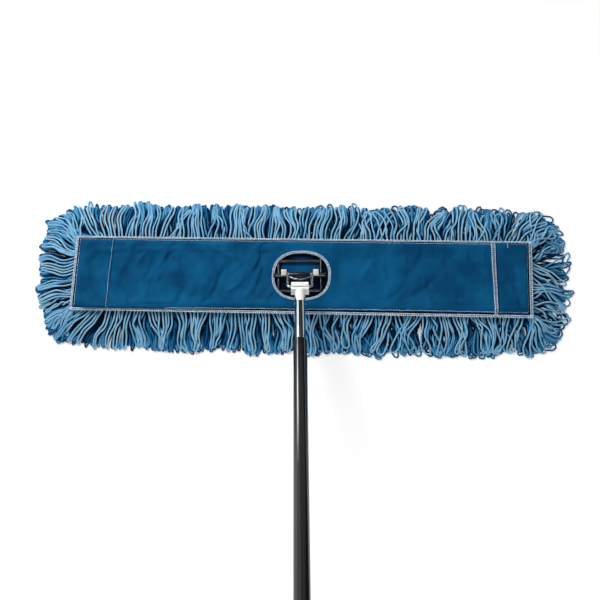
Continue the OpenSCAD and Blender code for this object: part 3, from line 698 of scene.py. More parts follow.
def settleYarn(paths):
    # yarn falls, is pushed out of other yarn and up off the floor, keeps its length and bends stiffly
    s, radius = settleSet, fringeSet["radius"]
    count, n = paths.shape[:2]
    rest = np.linalg.norm(np.diff(paths, axis=1), axis=2)
    ends = [0, 1, -2, -1]
    pinned = paths[:, ends].copy()
    place = paths.copy()
    index = np.arange(count * n)
    loop, order = index // n, index % n
    gap = s["spacing"] * radius
    for _ in range(s["steps"]):
        place[..., 2] -= s["fall"]
        flat = place.reshape(-1, 3)
        a, b = closePairs(flat, gap)
        near = ~((loop[a] == loop[b]) & (np.abs(order[a] - order[b]) < s["ownPoints"]))
        a, b = a[near], b[near]
        apart = flat[a] - flat[b]
        distance = np.linalg.norm(apart, axis=1) + tiny
        hit = distance < gap
        a, b, apart, distance = a[hit], b[hit], apart[hit], distance[hit]
        push = apart / distance[:, None] * ((gap - distance) * s["push"])[:, None]
        moved, weight = np.zeros_like(flat), np.zeros(len(flat))
        for points, sign in ((a, 1), (b, -1)):
            np.add.at(moved, points, sign * push)
            np.add.at(weight, points, 1)
        flat = flat + moved / np.maximum(1, weight * s["crowd"])[:, None]
        place = flat.reshape(count, n, 3)
        for _ in range(s["lengthRounds"]):
            for start in (0, 1):
                i = np.arange(start, n - 1, 2)
                line = place[:, i + 1] - place[:, i]
                size = np.linalg.norm(line, axis=2) + tiny
                fix = line * ((size - rest[:, i]) / size * 0.5)[..., None]
                place[:, i] += fix
                place[:, i + 1] -= fix
        middle = 0.5 * (place[:, :-4] + place[:, 4:])
        place[:, 2:-2] += s["stiffness"] * (middle - place[:, 2:-2])
        place[..., 2] = np.maximum(place[..., 2], radius)
        place[:, ends] = pinned
    return place


def exposureForShade(points):
    # 1 on yarn that lies on top, falling to 0 where other yarn covers it or stands close above it: the mask
    # of the painted shade
    s = fringeSet
    grid = np.floor(points[:, :2] / s["coverCell"]).astype(int)
    grid -= grid.min(0) - 1
    top = np.zeros(grid.max(0) + 2)
    np.maximum.at(top, (grid[:, 0], grid[:, 1]), points[:, 2])
    near = np.max([np.roll(top, (i, j), (0, 1)) for i in (-1, 0, 1) for j in (-1, 0, 1)], axis=0)
    below = points[:, 2] - near[grid[:, 0], grid[:, 1]]
    return smoothStep(-s["coverDepth"], 0, below + s["coverSpare"])


def fringeGroups(names, middle):
    # which loops make up each piece, and the node that it stands for
    third = fringeSet["halfLength"] / 3
    parts = {"Left": middle < -third, "Middle": np.abs(middle) <= third, "Right": middle > third}
    groups = [("fringe" + edge + part, (names == edge.lower()) & inside, "fringe_" + edge.lower())
              for edge in ("Front", "Rear") for part, inside in parts.items()]
    groups += [("fringe" + end + "End", names == end.lower(), "fringe_" + end.lower())
               for end in ("Left", "Right")]
    return groups


def buildFringe():
    s = fringeSet
    rng = np.random.default_rng(s["seed"])
    leans = edgeLeans(rng)
    comb = combWaves(rng)
    paths, names, shadesAndTones = [], [], []

    def addLoops(draw, layer, feet, headings, edge):
        paths.append(hairpins(draw, layer, feet, headings, edge, comb))
        names.append(edge)
        shadesAndTones.append(draw.normal(s["layers"][layer]["tone"], s["toneSpread"], len(feet)))

    for layer in range(len(s["layers"])):
        addLoops(rng, layer, *fringeStations(rng, layer, leans))
    fills = np.array(s["fills"], float)
    fillDraw = np.random.default_rng(s["seed"] + 1)
    for layer in s["fillLayers"]:
        addLoops(fillDraw, layer, fills[:, :2] * mm, np.radians(fills[:, 2]), np.full(len(fills), "left"))
    paths, names, shadesAndTones = np.concatenate(paths), np.concatenate(names), np.concatenate(shadesAndTones)
    paths = settleYarn(paths)
    paths = resample(paths, s["rings"])
    # painted shade: yarn is darker where other yarn covers it
    bare = exposureForShade(paths.reshape(-1, 3)).reshape(len(paths), -1)
    for _ in range(3):  # evens the shade out along each strand
        bare[:, 1:-1] = (bare[:, :-2] + 2 * bare[:, 1:-1] + bare[:, 2:]) / 4
    tone = np.clip(shadesAndTones[:, None] * (s["coveredShade"] + (1 - s["coveredShade"]) * bare), 0, 1)
    paths = askew(paths)
    for name, chosen, node in fringeGroups(names, paths[:, s["rings"] // 2, 0]):
        yarnPiece(name, paths[chosen], s["radius"], s["sides"], s["grooveDepth"], tone[chosen], node)


buildFringe()


# pile: shorter loops in rows under the base cloth
pileSet = {
    "pitchX": 13 * mm,
    "pitchY": 12 * mm,
    "halfLength": 455 * mm,
    "halfWidth": 72 * mm,
    "longest": 458 * mm,
    "jitter": 1.2 * mm,
    "top": 21.5 * mm,
    "floor": 2.6 * mm,
    "loopHalf": (3.6 * mm, 5.2 * mm),
    "dropPower": 2.6,
    "swayPower": 0.7,
    "lean": 5 * mm,
    "radius": 2.5 * mm,
    "grooveDepth": 0.08,
    # a dark tone, painted shade for the yarn under the cloth
    "tone": (0.3, 0.1),
    "rings": 13,
    "sides": 6,
    "seed": 5,
}


def buildPile():
    s = pileSet
    rng = np.random.default_rng(s["seed"])
    xs = np.arange(-s["halfLength"], s["halfLength"] + 1 * mm, s["pitchX"])
    ys = np.arange(-s["halfWidth"], s["halfWidth"] + 1 * mm, s["pitchY"])
    feet = np.array([(x + (0.5 * s["pitchX"] if j % 2 else 0), y) for j, y in enumerate(ys) for x in xs])
    feet += rng.normal(0, s["jitter"], feet.shape)
    feet[:, 0] = np.clip(feet[:, 0], -s["longest"], s["longest"])
    count = len(feet)
    turn = rng.uniform(0, math.pi, count)
    t = np.linspace(-1, 1, s["rings"])
    drop = 1 - np.abs(t) ** s["dropPower"]
    half = rng.uniform(*s["loopHalf"], count)
    lean = rng.normal(0, s["lean"], (count, 2))
    path = np.empty((count, s["rings"], 3))
    sway = np.sign(t) * np.abs(t) ** s["swayPower"]
    path[..., 0] = feet[:, :1] + (np.cos(turn) * half)[:, None] * sway + lean[:, :1] * drop
    path[..., 1] = feet[:, 1:] + (np.sin(turn) * half)[:, None] * sway + lean[:, 1:] * drop
    path[..., 2] = s["top"] - drop * (s["top"] - s["floor"])
    tone = np.repeat(np.clip(rng.normal(*s["tone"], count), 0, 1), s["rings"])
    yarnPiece("pileLoops", askew(path), s["radius"], s["sides"], s["grooveDepth"], tone, "yarn_pile")


buildPile()


# canvas: one sheet with the handle opening cut in it, raised over the frame and sewn down at its edge
canvasSet = {
    "halfLength": 465 * mm,
    "halfWidth": 80 * mm,
    "thickness": 0.6 * mm,
    "seamLevel": 24.4 * mm,
    "grooveDip": 0.6 * mm,
    "topLevel": 33.0 * mm,
    "bandWidth": {"rear": 3.4 * mm, "front": 4.8 * mm, "left": 4.2 * mm, "right": 6.0 * mm},
    "bandBlend": 3 * mm,
    "plainSeam": (-300 * mm, -80 * mm),  # left of this the near edge has no groove
    "grooveWidth": (0.3 * mm, 2.2 * mm),  # from the band to the rise, on a plain seam and on a grooved one
    # soft sides of the groove and of the painted fold shade in it: past the band, and past the start of the
    # rise
    "grooveSides": ((-0.3 * mm, 0.6 * mm), (0.0, 1.2 * mm)),
    "foldSides": ((-0.2 * mm, 0.6 * mm), (0.2 * mm, 1.6 * mm)),
    # how near black the painted shade in the seam's fold goes
    "foldShadeStrength": 0.95,
    # where the cloth comes free to crease and to hang: from its edge, and in sizes of the opening
    "creaseFrom": {"seam": (9 * mm, 19 * mm), "opening": (1.02, 1.35)},
    "hangFrom": {"seam": (13 * mm, 24 * mm), "opening": (1.03, 1.2)},
    "riseRun": {"plain": 1.8 * mm, "front": 0.5 * mm, "all": 2.2 * mm},
    "wireLevel": 27.65 * mm,
    "wireRadius": 3.0 * mm,
    "wireHalf": (445 * mm, 60 * mm),
    "wireBend": 30 * mm,
    "wireSpare": 1.5 * mm,
    "wireArch": 0.05 * mm,  # how far the arch over a wire has dropped at 1 mm from it
    "wireFree": (4.0 * mm, 5.4 * mm),  # nearer to its edge the cloth is sewn down below the wires
    "wireFreeDrop": 12 * mm,
    "wireSoft": 0.35 * mm,
    "edgeInsets": [0, 2, 3.8, 4.8, 5.8, 6.8, 7.8, 9, 10.6, 13, 16.5, 21],
    "cell": 5.5 * mm,
    "patchHalf": 100 * mm,
    "opening": (110 * mm, 97 * mm),
    "openingPower": 2.4,
    "openingShift": (-2.3 * mm, -1.8 * mm),
    "openingRows": [0.76, 0.86, 0.93, 0.97, 1.0],
    "openingDip": 1.2 * mm,
    "openingDipTo": 1.10,
    "simFrames": 22,
    "simReach": 4.0 * mm,
}
# folds in mm: many slanted ones on the left, few and shallow on the right; tall gives both sides' spread
creaseSet = {
    "soft": {"left": 44, "all": 64, "width": (7, 17), "length": (22, 58), "tall": (2.2, 1.2), "seed": 23},
    "crisp": {"left": 60, "all": 84, "width": (3.6, 9), "length": (12, 42), "tall": (4.4, 2.4), "seed": 24},
    "leftRun": (-455, -65),
    "rightRun": (70, 455),
    "acrossRun": (-62, 62),
    "headings": [64, 74, 112, 122],
    "headingSpread": 13,
    "wander": (4 * mm, 18 * mm),
    "limit": 3.2 * mm,
}
clothSet = {
    "vertex_group_mass": "sewn",
    "pin_stiffness": 4.0,
    "quality": 5,
    "mass": 0.25,
    "tension_stiffness": 25,
    "compression_stiffness": 25,
    "shear_stiffness": 8,
    "bending_stiffness": 1.2,
    "shrink_min": -0.006,
}
clothGravity = 0.12


def openingPoint(turn):
    # the opening's edge at each angle: a shape between an ellipse and a rectangle
    length, width = canvasSet["opening"]
    power = canvasSet["openingPower"]
    ray = np.stack([np.cos(turn), np.sin(turn)], -1)
    size = np.abs(ray[..., 0] * 2 / length) ** power + np.abs(ray[..., 1] * 2 / width) ** power
    return ray * (size ** (-1 / power))[..., None] + np.array(canvasSet["openingShift"])


def openingShare(flat):
    # 1 on the opening's edge, and more the farther out a point lies
    shift = np.array(canvasSet["openingShift"])
    away = flat[:, :2] - shift
    edge = openingPoint(np.arctan2(away[:, 1], away[:, 0])) - shift
    return np.linalg.norm(away, axis=1) / np.linalg.norm(edge, axis=1)


def seamShape(x, y):
    # the overlock's width, where the canvas starts to rise from its seam, the run of the rise,
    # and how far the seam has its groove
    s = canvasSet
    hx, hy = s["halfLength"], s["halfWidth"]
    away = np.stack([hy - y, hy + y, hx + x, hx - x])
    shares = np.exp(-(away - away.min(0)) / s["bandBlend"])
    shares = shares / shares.sum(0)
    edges = ("rear", "front", "left", "right")
    width = sum(share * s["bandWidth"][name] for share, name in zip(shares, edges))
    plain = shares[1] * (1 - smoothStep(*s["plainSeam"], x))
    narrow, wide = s["grooveWidth"]
    start = width + narrow + (wide - narrow) * (1 - plain)
    run = s["riseRun"]["all"] + s["riseRun"]["front"] * shares[1] + s["riseRun"]["plain"] * plain
    return width, start, run, 1 - plain


def edgeInset(x, y):
    return np.minimum(canvasSet["halfLength"] - np.abs(x), canvasSet["halfWidth"] - np.abs(y))


def grooveShare(inset, width, start, sides):
    # 1 between the overlock and the rise of the canvas, with soft sides
    (bandFrom, bandTo), (riseFrom, riseTo) = sides
    past = smoothStep(width + bandFrom, width + bandTo, inset)
    return past * (1 - smoothStep(start + riseFrom, start + riseTo, inset))


def edgeProfile(x, y):
    # height of the canvas by its distance from the sewn edge: seam, groove, rise, top
    s = canvasSet
    inset = edgeInset(x, y)
    width, start, run, groove = seamShape(x, y)
    dip = grooveShare(inset, width, start, s["grooveSides"])
    rise = 1 - np.exp(-np.maximum(inset - start, 0) / run)
    return s["seamLevel"] - s["grooveDip"] * dip * groove + (s["topLevel"] - s["seamLevel"]) * rise


def creases(x, y, kind):
    s, folds = creaseSet, creaseSet[kind]
    rng = np.random.default_rng(folds["seed"])
    total = np.zeros_like(x)
    for i in range(folds["all"]):
        left = i < folds["left"]
        cx = rng.uniform(*s["leftRun" if left else "rightRun"]) * mm
        cy = rng.uniform(*s["acrossRun"]) * mm
        heading = math.radians(rng.choice(s["headings"]) + rng.normal(0, s["headingSpread"]))
        length = rng.uniform(*folds["length"]) * mm
        width = rng.uniform(*folds["width"]) * mm
        height = rng.normal(0, folds["tall"][0 if left else 1]) * mm
        u, v = turned(x - cx, y - cy, heading)
        v = v + s["wander"][0] * np.sin(u / s["wander"][1] + i)
        total += height * np.exp(-(v / width) ** 2 - (u / length) ** 2)
    return s["limit"] * np.tanh(total / s["limit"])


def freeShares(flat, kind):
    # 0 along the seams and, in the second, round the opening, where the cloth is held, and 1 where it is free
    ranges = canvasSet[kind]
    inset = edgeInset(flat[:, 0], flat[:, 1])
    return smoothStep(*ranges["seam"], inset), smoothStep(*ranges["opening"], openingShare(flat))


def creasesWhereFree(flat, kind):
    seam, opening = freeShares(flat, "creaseFrom")
    return creases(flat[:, 0], flat[:, 1], kind) * (seam * opening)


def overWires(points, inset):
    # keeps the cloth above the wires of the frame, over which it hangs in a low arch
    s = canvasSet
    hx, hy = s["wireHalf"]
    qx = np.abs(points[:, 0]) - hx + s["wireBend"]
    qy = np.abs(points[:, 1]) - hy + s["wireBend"]
    outer = np.hypot(np.maximum(qx, 0), np.maximum(qy, 0)) + np.minimum(np.maximum(qx, qy), 0) - s["wireBend"]
    away = np.abs(outer) / mm
    low = s["wireLevel"] + s["wireRadius"] + s["wireSpare"] - s["wireArch"] * away ** 2
    low = low - s["wireFreeDrop"] * (1 - smoothStep(*s["wireFree"], inset))
    soft = s["wireSoft"]
    over = np.clip((points[:, 2] - low) / soft, -30, 30)  # keeps the exponential in range
    return np.where(over > 25, points[:, 2], low + soft * np.log1p(np.exp(over)))


def canvasMesh():
    s = canvasSet
    hx, hy, px = s["halfLength"], s["halfWidth"], s["patchHalf"]
    near = np.array(s["edgeInsets"]) * mm
    inner = np.linspace(near[-1], 2 * hy - near[-1], int((2 * hy - 2 * near[-1]) / s["cell"]) + 1)[1:-1]
    rows = np.concatenate([near, inner, 2 * hy - near[::-1]]) - hy
    middle = np.linspace(near[-1], hx - px, int((hx - px - near[-1]) / s["cell"]) + 1)[1:]
    columns = np.concatenate([near, middle]) - hx
    points, faces = [], []
    for side in (-1, 1):
        faces.append(len(points) + gridFaces(len(columns), len(rows))[:, ::-side])
        points.extend((-side * x, y) for x in columns for y in rows)
    # the middle patch: lines from its outer rectangle in to the opening
    run = np.linspace(-px, px, int(2 * px / s["cell"]) + 1)
    rim = [(px, y) for y in rows[:-1]] + [(x, hy) for x in run[:0:-1]]
    rim += [(-px, y) for y in rows[:0:-1]] + [(x, -hy) for x in run[:-1]]
    rim = np.array(rim)
    length, width = s["opening"]
    hole = openingPoint(np.arctan2(rim[:, 1] / hy * width, rim[:, 0] / px * length))
    shares = np.concatenate([near / (hy - width / 2), s["openingRows"]])
    count = len(rim)
    k = np.arange(count)
    for i in range(len(shares) - 1):
        a, b = len(points) + i * count + k, len(points) + i * count + (k + 1) % count
        faces.append(np.stack([a, b, b + count, a + count], 1))
    points.extend(tuple(a * (1 - share) + b * share) for share in shares for a, b in zip(rim, hole))
    flat = np.array(points)
    z = edgeProfile(flat[:, 0], flat[:, 1]) + creasesWhereFree(flat, "soft")
    z = z - s["openingDip"] * (1 - smoothStep(1.0, s["openingDipTo"], openingShare(flat)))
    piece = meshPiece("canvasTop", np.column_stack([flat, z]), [np.concatenate(faces)])
    bm = bmesh.new()
    bm.from_mesh(piece.data)
    bmesh.ops.remove_doubles(bm, verts=bm.verts, dist=0.01 * mm)
    bmesh.ops.recalc_face_normals(bm, faces=bm.faces)
    if sum(f.normal.z for f in bm.faces) < 0:
        bmesh.ops.reverse_faces(bm, faces=bm.faces)
    bm.to_mesh(piece.data)
    bm.free()
    return piece


def relaxCanvas(piece):
    # a short cloth run, without collisions, lets the slack canvas hang on its seams; no point moves farther
    # than simReach
    start = readPoints(piece)
    hold = 1 - np.minimum(*freeShares(start, "hangFrom"))
    group = piece.vertex_groups.new(name="sewn")
    for i, weight in enumerate(hold):
        group.add([i], float(weight), "REPLACE")
    cloth = piece.modifiers.new("cloth", "CLOTH")
    for name, value in clothSet.items():
        setattr(cloth.settings, name, value)
    cloth.settings.effector_weights.gravity = clothGravity
    cloth.collision_settings.use_collision = False
    for step in range(1, canvasSet["simFrames"] + 1):
        scene.frame_set(step)
    evaluated = piece.evaluated_get(bpy.context.evaluated_depsgraph_get())
    moved = np.array([v.co for v in evaluated.data.vertices], float)
    piece.modifiers.remove(cloth)
    piece.vertex_groups.clear()
    scene.frame_set(1)
    shift = moved - start
    size = np.linalg.norm(shift, axis=1, keepdims=True)
    shift *= np.minimum(1, canvasSet["simReach"] / (size + tiny))
    writePoints(piece, start + shift)
    print("canvas relaxed, largest move in mm", round(float(size.max()) / mm, 2))


def finishCanvas(piece):
    # one subdivision, crisp creases, the painted shade of the fold along the seam as a point value, and room
    # for the wires
    bm = bmesh.new()
    bm.from_mesh(piece.data)
    bmesh.ops.subdivide_edges(bm, edges=bm.edges, cuts=1, use_grid_fill=True, smooth=0.0)
    bm.to_mesh(piece.data)
    bm.free()
    flat = readPoints(piece)
    inset = edgeInset(flat[:, 0], flat[:, 1])
    width, start, _, groove = seamShape(flat[:, 0], flat[:, 1])
    paintedShade = grooveShare(inset, width, start, canvasSet["foldSides"])
    pointValues(piece, "paintedShade", canvasSet["foldShadeStrength"] * paintedShade * groove)
    flat[:, 2] += creasesWhereFree(flat, "crisp")
    placed = askew(flat)
    placed[:, 2] = overWires(placed, inset)
    writePoints(piece, placed)
    shadeSmooth(piece)


canvasTop = canvasMesh()
relaxCanvas(canvasTop)
finishCanvas(canvasTop)
canvasTree = BVHTree.FromPolygons(
    [v.co.copy() for v in canvasTop.data.vertices], [tuple(p.vertices) for p in canvasTop.data.polygons])


def canvasHeight(points, spare=30 * mm):
    # height of the finished canvas under each point, or at its nearest place where it has none
    above = 200 * mm
    out = np.empty(len(points))
    for i, (x, y) in enumerate(np.asarray(points)[:, :2]):
        hit = canvasTree.ray_cast(Vector((x, y, above)), Vector((0, 0, -1)))[0]
        if hit is None:
            hit = canvasTree.find_nearest(Vector((x, y, spare)))[0]
        out[i] = hit.z
    return out


thicken(canvasTop, canvasSet["thickness"])
dress(canvasTop, canvasFinish, "head", "canvas", "top_canvas")
print("canvas", len(canvasTop.data.polygons), "faces")


# base cloth: the sheet that carries the yarn, seen through the opening
baseSet = {
    "halfLength": 464 * mm,
    "halfWidth": 79 * mm,
    "level": 23.0 * mm,
    "cell": 8 * mm,
    "thickness": 0.6 * mm,
    "wrinkles": 60,
    "wrinkleRun": (90, 70),
    "wrinkleTall": 0.25,
    "wrinkleSize": (26 * mm, 9 * mm),
    "highest": 0.4 * mm,
    "litMiddle": 17 * mm,  # the part below the opening that light reaches, and its half size; outside it the cloth is painted dark as shade
    "litHalf": (44 * mm, 24 * mm),
    "litEdge": (0.7, 1.15),
    "seed": 8,
}


def buildBase():
    s = baseSet
    rng = np.random.default_rng(s["seed"])
    xs = np.linspace(-s["halfLength"], s["halfLength"], int(2 * s["halfLength"] / s["cell"]) + 1)
    ys = np.linspace(-s["halfWidth"], s["halfWidth"], int(2 * s["halfWidth"] / s["cell"]) + 1)
    grid = np.array([(x, y) for x in xs for y in ys])
    z = np.full(len(grid), s["level"])
    for _ in range(s["wrinkles"]):
        cx, cy = (rng.uniform(-half, half) * mm for half in s["wrinkleRun"])
        u, v = turned(grid[:, 0] - cx, grid[:, 1] - cy, rng.uniform(0, math.pi))
        length, width = s["wrinkleSize"]
        z += rng.normal(0, s["wrinkleTall"]) * mm * np.exp(-(v / width) ** 2 - (u / length) ** 2)
    z = np.minimum(z, s["level"] + s["highest"])
    piece = meshPiece("baseCloth", askew(np.column_stack([grid, z])), [gridFaces(len(xs), len(ys))])
    thicken(piece, s["thickness"])
    flat = readPoints(piece)
    # painted shade: the cloth is darker outside the part that light reaches
    reach = np.hypot(flat[:, 0] / s["litHalf"][0], (flat[:, 1] - s["litMiddle"]) / s["litHalf"][1])
    pointValues(piece, "paintedShade", smoothStep(*s["litEdge"], reach))
    dress(piece, baseFinish, "head", "canvas", "base_cloth")


buildBase()


# pockets: panels laid over the canvas at each end and sewn in with its edge, their mouths toward the middle
pocketSet = {
    "left": {"mouth": (-386.5 * mm, -390.5 * mm), "node": "left_pocket"},
    "right": {"mouth": (381.4 * mm, 388.2 * mm), "node": "right_pocket"},
    "outer": 456 * mm,
    "halfWidth": 74.6 * mm,
    "lift": 0.8 * mm,
    "thickness": 0.5 * mm,
    "bandWidth": (8.0 * mm, 6.0 * mm),
    "steepRows": [0, 0.7, 1.4, 2.2, 3.2, 4.6, 6.6, 9.5, 13.5],  # in mm, closer where the canvas rises
    "calmFrom": 17 * mm,
    "calmRows": 32,
    "columns": 30,
    # how dark the painted shade past the overlock goes
    "foldShadeStrength": 0.75,
    "foldSides": (1.5 * mm, 4 * mm),  # past the overlock: where the painted fold shade is darkest, and where it ends
}


def buildPocket(side):
    s = pocketSet
    farMouth, nearMouth = s[side]["mouth"]
    farBand, nearBand = s["bandWidth"]
    dark, end = s["foldSides"]
    sign = -1 if side == "left" else 1
    steep = np.array(s["steepRows"]) * mm
    hy, calm, count = s["halfWidth"], s["calmFrom"], s["columns"]
    rows = np.concatenate([hy - steep, np.linspace(hy - calm, calm - hy, s["calmRows"]), steep[::-1] - hy])
    grid, paintedShade = [], []
    for y in rows:
        share = (hy - y) / (2 * hy)
        mouth = abs(farMouth + (nearMouth - farMouth) * share)
        band = farBand + (nearBand - farBand) * share
        columns = np.linspace(mouth, s["outer"] - calm, count - len(steep))
        columns = np.concatenate([columns, s["outer"] - steep[::-1]])
        grid.extend((sign * x, y) for x in columns)
        inside = columns - mouth
        past = smoothStep(band - dark, band, inside)
        paintedShade.extend(past * (1 - smoothStep(band + dark, band + end, inside)))
    flat = askew(np.array(grid))
    z = canvasHeight(flat) + s["lift"]
    piece = meshPiece(side + "Pocket", np.column_stack([flat, z]), [gridFaces(len(rows), count)[:, ::sign]])
    # painted shade in the fold past the right pocket's overlock; the left pocket gets none
    pointValues(piece, "paintedShade", s["foldShadeStrength"] * np.array(paintedShade) if side == "right" else np.zeros(len(paintedShade)))
    thicken(piece, s["thickness"])
    dress(piece, pocketFinish, "head", "canvas", s[side]["node"])


buildPocket("left")
buildPocket("right")
print("base cloth and pockets ready")


# stitches: overlock wraps over each raw edge and running stitches in the cloth, all in thread
stitchSet = {
    # thread radii are about twice the real ones, so that single stitches show
    "lineThread": 0.66 * mm,
    "fineThread": 0.5 * mm,
    # each overlock: how far its wraps go down the edge, how far they rise over it, and their thread
    "seamWraps": (1.6 * mm, 0.9 * mm, 0.84 * mm),
    "ringWraps": (1.8 * mm, 0.9 * mm, 0.84 * mm),
    "pocketWraps": (0.9 * mm, 0.5 * mm, 0.5 * mm),
    "threadSides": 5,
    "wrapPitch": 4.3 * mm,
    "wrapSlant": (0.45, 0.15),
    "wrapOut": 0.5 * mm,
    "wrapPoints": 9,
    "wrapSpread": 0.05,
    "lineStep": 1.25 * mm,
    # lines along the wraps: share of the band's width, inset and wobble
    "lines": [(1.0, -0.7 * mm, 0.3 * mm), (0.0, 0.3 * mm, 0.45 * mm)],
    "ringWidth": 4.4 * mm,
    "ringPoints": 160,
    "stitch": 4.2 * mm,
    "gap": 1.0 * mm,
    "wander": 0.25 * mm,
    "stitchDip": 1.2 * mm,
    "stitchPoints": 7,
    "rowInset": 4.6 * mm,
    # the left pocket's mouth is sewn down by hand, so its row of stitches wavers
    "mouthRow": [(-388.6, 76), (-390, 47), (-391.9, 11), (-392.6, -11), (-391.4, -44), (-392, -75)],
    "seed": 31,
}


def walk(corners, closed):
    # a function from distance along a line of corners to its point and the way it runs, and the line's length
    pts = np.array(corners, float)
    if closed:
        pts = np.vstack([pts, pts[:1]])
    legs = np.diff(pts, axis=0)
    sizes = np.linalg.norm(legs, axis=1)
    marks = np.concatenate([[0], np.cumsum(sizes)])

    def at(distance):
        distance = np.clip(distance, 0, marks[-1] - tiny)
        i = np.clip(np.searchsorted(marks, distance, "right") - 1, 0, len(legs) - 1)
        way = legs[i] / sizes[i][:, None]
        return pts[i] + way * (distance - marks[i])[:, None], way
    return at, marks[-1]


def leftOf(way):
    return np.stack([-way[:, 1], way[:, 0]], 1)


def overlock(rng, corners, inward, heightAt, widthAt, wrapDown, rise, thread, closed=True):
    # slanted wraps across the edge, a needle line inside it and a looper line along it
    s = stitchSet
    at, length = walk(corners, closed)
    count = int(length / s["wrapPitch"])
    foot, way = at((np.arange(count) + 0.5) * length / count)
    inside = leftOf(way) * inward
    width = widthAt(foot)[:, None]
    t = np.linspace(0, 1, s["wrapPoints"])
    slant = rng.normal(*s["wrapSlant"], count)[:, None] * s["wrapPitch"]
    reach = width * (1 - t)[None] * (1 + rng.normal(0, s["wrapSpread"], count)[:, None]) - s["wrapOut"]
    shift = slant * (t - 0.5)[None]
    flat = foot[:, None] + inside[:, None] * reach[..., None] + way[:, None] * shift[..., None]
    world = askew(flat)
    level = heightAt(world.reshape(-1, 2)).reshape(count, -1)
    top = level + rise * np.sin(np.pi * np.clip(t * 0.9 + 0.08, 0, 1))[None] + thread * 0.5
    top = top - wrapDown * smoothStep(0.86, 1.0, t)[None]
    parts = [sweepTubes(np.concatenate([world, top[..., None]], 2), thread, s["threadSides"])[:3]]
    for share, inset, wobble in s["lines"]:
        mark = np.linspace(0, length, int(length / s["lineStep"]))
        foot, way = at(mark)
        zig = wobble * np.sin(mark * 2 * math.pi / s["wrapPitch"])
        line = askew(foot + leftOf(way) * inward * (share * widthAt(foot) + inset + zig)[:, None])
        z = heightAt(line) + thread * 1.1
        parts.append(sweepTubes(np.column_stack([line, z])[None], s["lineThread"], s["threadSides"])[:3])
    return parts


def runningStitch(rng, corners, heightAt, thread):
    # separate stitches in a row, each dipping into the cloth at both ends
    s = stitchSet
    at, length = walk(corners, False)
    count = int(length / (s["stitch"] + s["gap"]))
    t = np.linspace(-0.5, 0.5, s["stitchPoints"])
    place = ((np.arange(count) + 0.5) * length / count)[:, None] + t[None] * s["stitch"]
    foot, way = at(place.ravel())
    line = askew(foot + leftOf(way) * np.repeat(rng.normal(0, s["wander"], count), len(t))[:, None])
    z = heightAt(line) + thread * 0.6 - np.tile(s["stitchDip"] * (2 * np.abs(t)) ** 6, count)
    paths = np.column_stack([line, z]).reshape(count, len(t), 3)
    return [sweepTubes(paths, thread, s["threadSides"])[:3]]


def threadPiece(name, parts, node):
    # one piece from several sets of tubes
    starts = np.cumsum([0] + [len(part[0]) for part in parts])
    quads = np.concatenate([part[1] + start for part, start in zip(parts, starts)])
    caps = np.concatenate([part[2] + start for part, start in zip(parts, starts)])
    piece = meshPiece(name, np.concatenate([part[0] for part in parts]), [quads, caps])
    dress(piece, threadFinish, "head", "thread", node)


def buildStitches():
    s, c = stitchSet, canvasSet
    rng = np.random.default_rng(s["seed"])
    hx, hy = c["halfLength"], c["halfWidth"]

    def seamHeight(points):
        return canvasHeight(points, c["seamLevel"])

    def pocketHeight(points):
        return canvasHeight(points) + pocketSet["lift"]

    def tickHeight(points):
        return pocketHeight(points) + 0.6 * mm

    def seamBand(foot):
        return seamShape(foot[:, 0], foot[:, 1])[0]

    def ringBand(foot):
        return np.full(len(foot), s["ringWidth"])

    def pocketBand(foot):
        return np.interp(-foot[:, 1], (-hy, hy), pocketSet["bandWidth"])

    outline = [(-hx, -hy), (hx, -hy), (hx, hy), (-hx, hy)]
    parts = overlock(rng, outline, 1, seamHeight, seamBand, *s["seamWraps"])
    # a row of stitches inside the groove: it leaves the near seam left of the middle and runs round the rest
    inset = {name: width + s["rowInset"] for name, width in c["bandWidth"].items()}
    front, rear = inset["front"] - hy, hy - inset["rear"]
    left, right = inset["left"] - hx, hx - inset["right"]
    row = [(-275 * mm, c["bandWidth"]["front"] + 0.6 * mm - hy), (-90 * mm, front - 1.2 * mm),
           (120 * mm, front), (right, front), (right, rear), (left, rear), (left, 8 * mm - hy)]
    parts += runningStitch(rng, row, seamHeight, s["fineThread"])
    # a short bar of stitches at the far edge of the right pocket
    tick = [(415 * mm, hy - 17 * mm), (415.6 * mm, hy - 1 * mm)]
    parts += runningStitch(rng, tick, tickHeight, s["fineThread"])
    threadPiece("edgeOverlock", parts, "edge_binding")

    ring = openingPoint(np.linspace(0, 2 * math.pi, s["ringPoints"], endpoint=False))
    parts = overlock(rng, ring, -1, seamHeight, ringBand, *s["ringWraps"])
    threadPiece("openingOverlock", parts, "opening_binding")

    parts = runningStitch(rng, np.array(s["mouthRow"]) * mm, pocketHeight, 0.8 * s["fineThread"])
    farMouth, nearMouth = pocketSet["right"]["mouth"]
    edge = [(farMouth, 75 * mm), (nearMouth, -75 * mm)]
    parts += overlock(rng, edge, 1, pocketHeight, pocketBand, *s["pocketWraps"], closed=False)
    threadPiece("pocketStitches", parts, "pocket_binding")


buildStitches()
print("stitches ready")


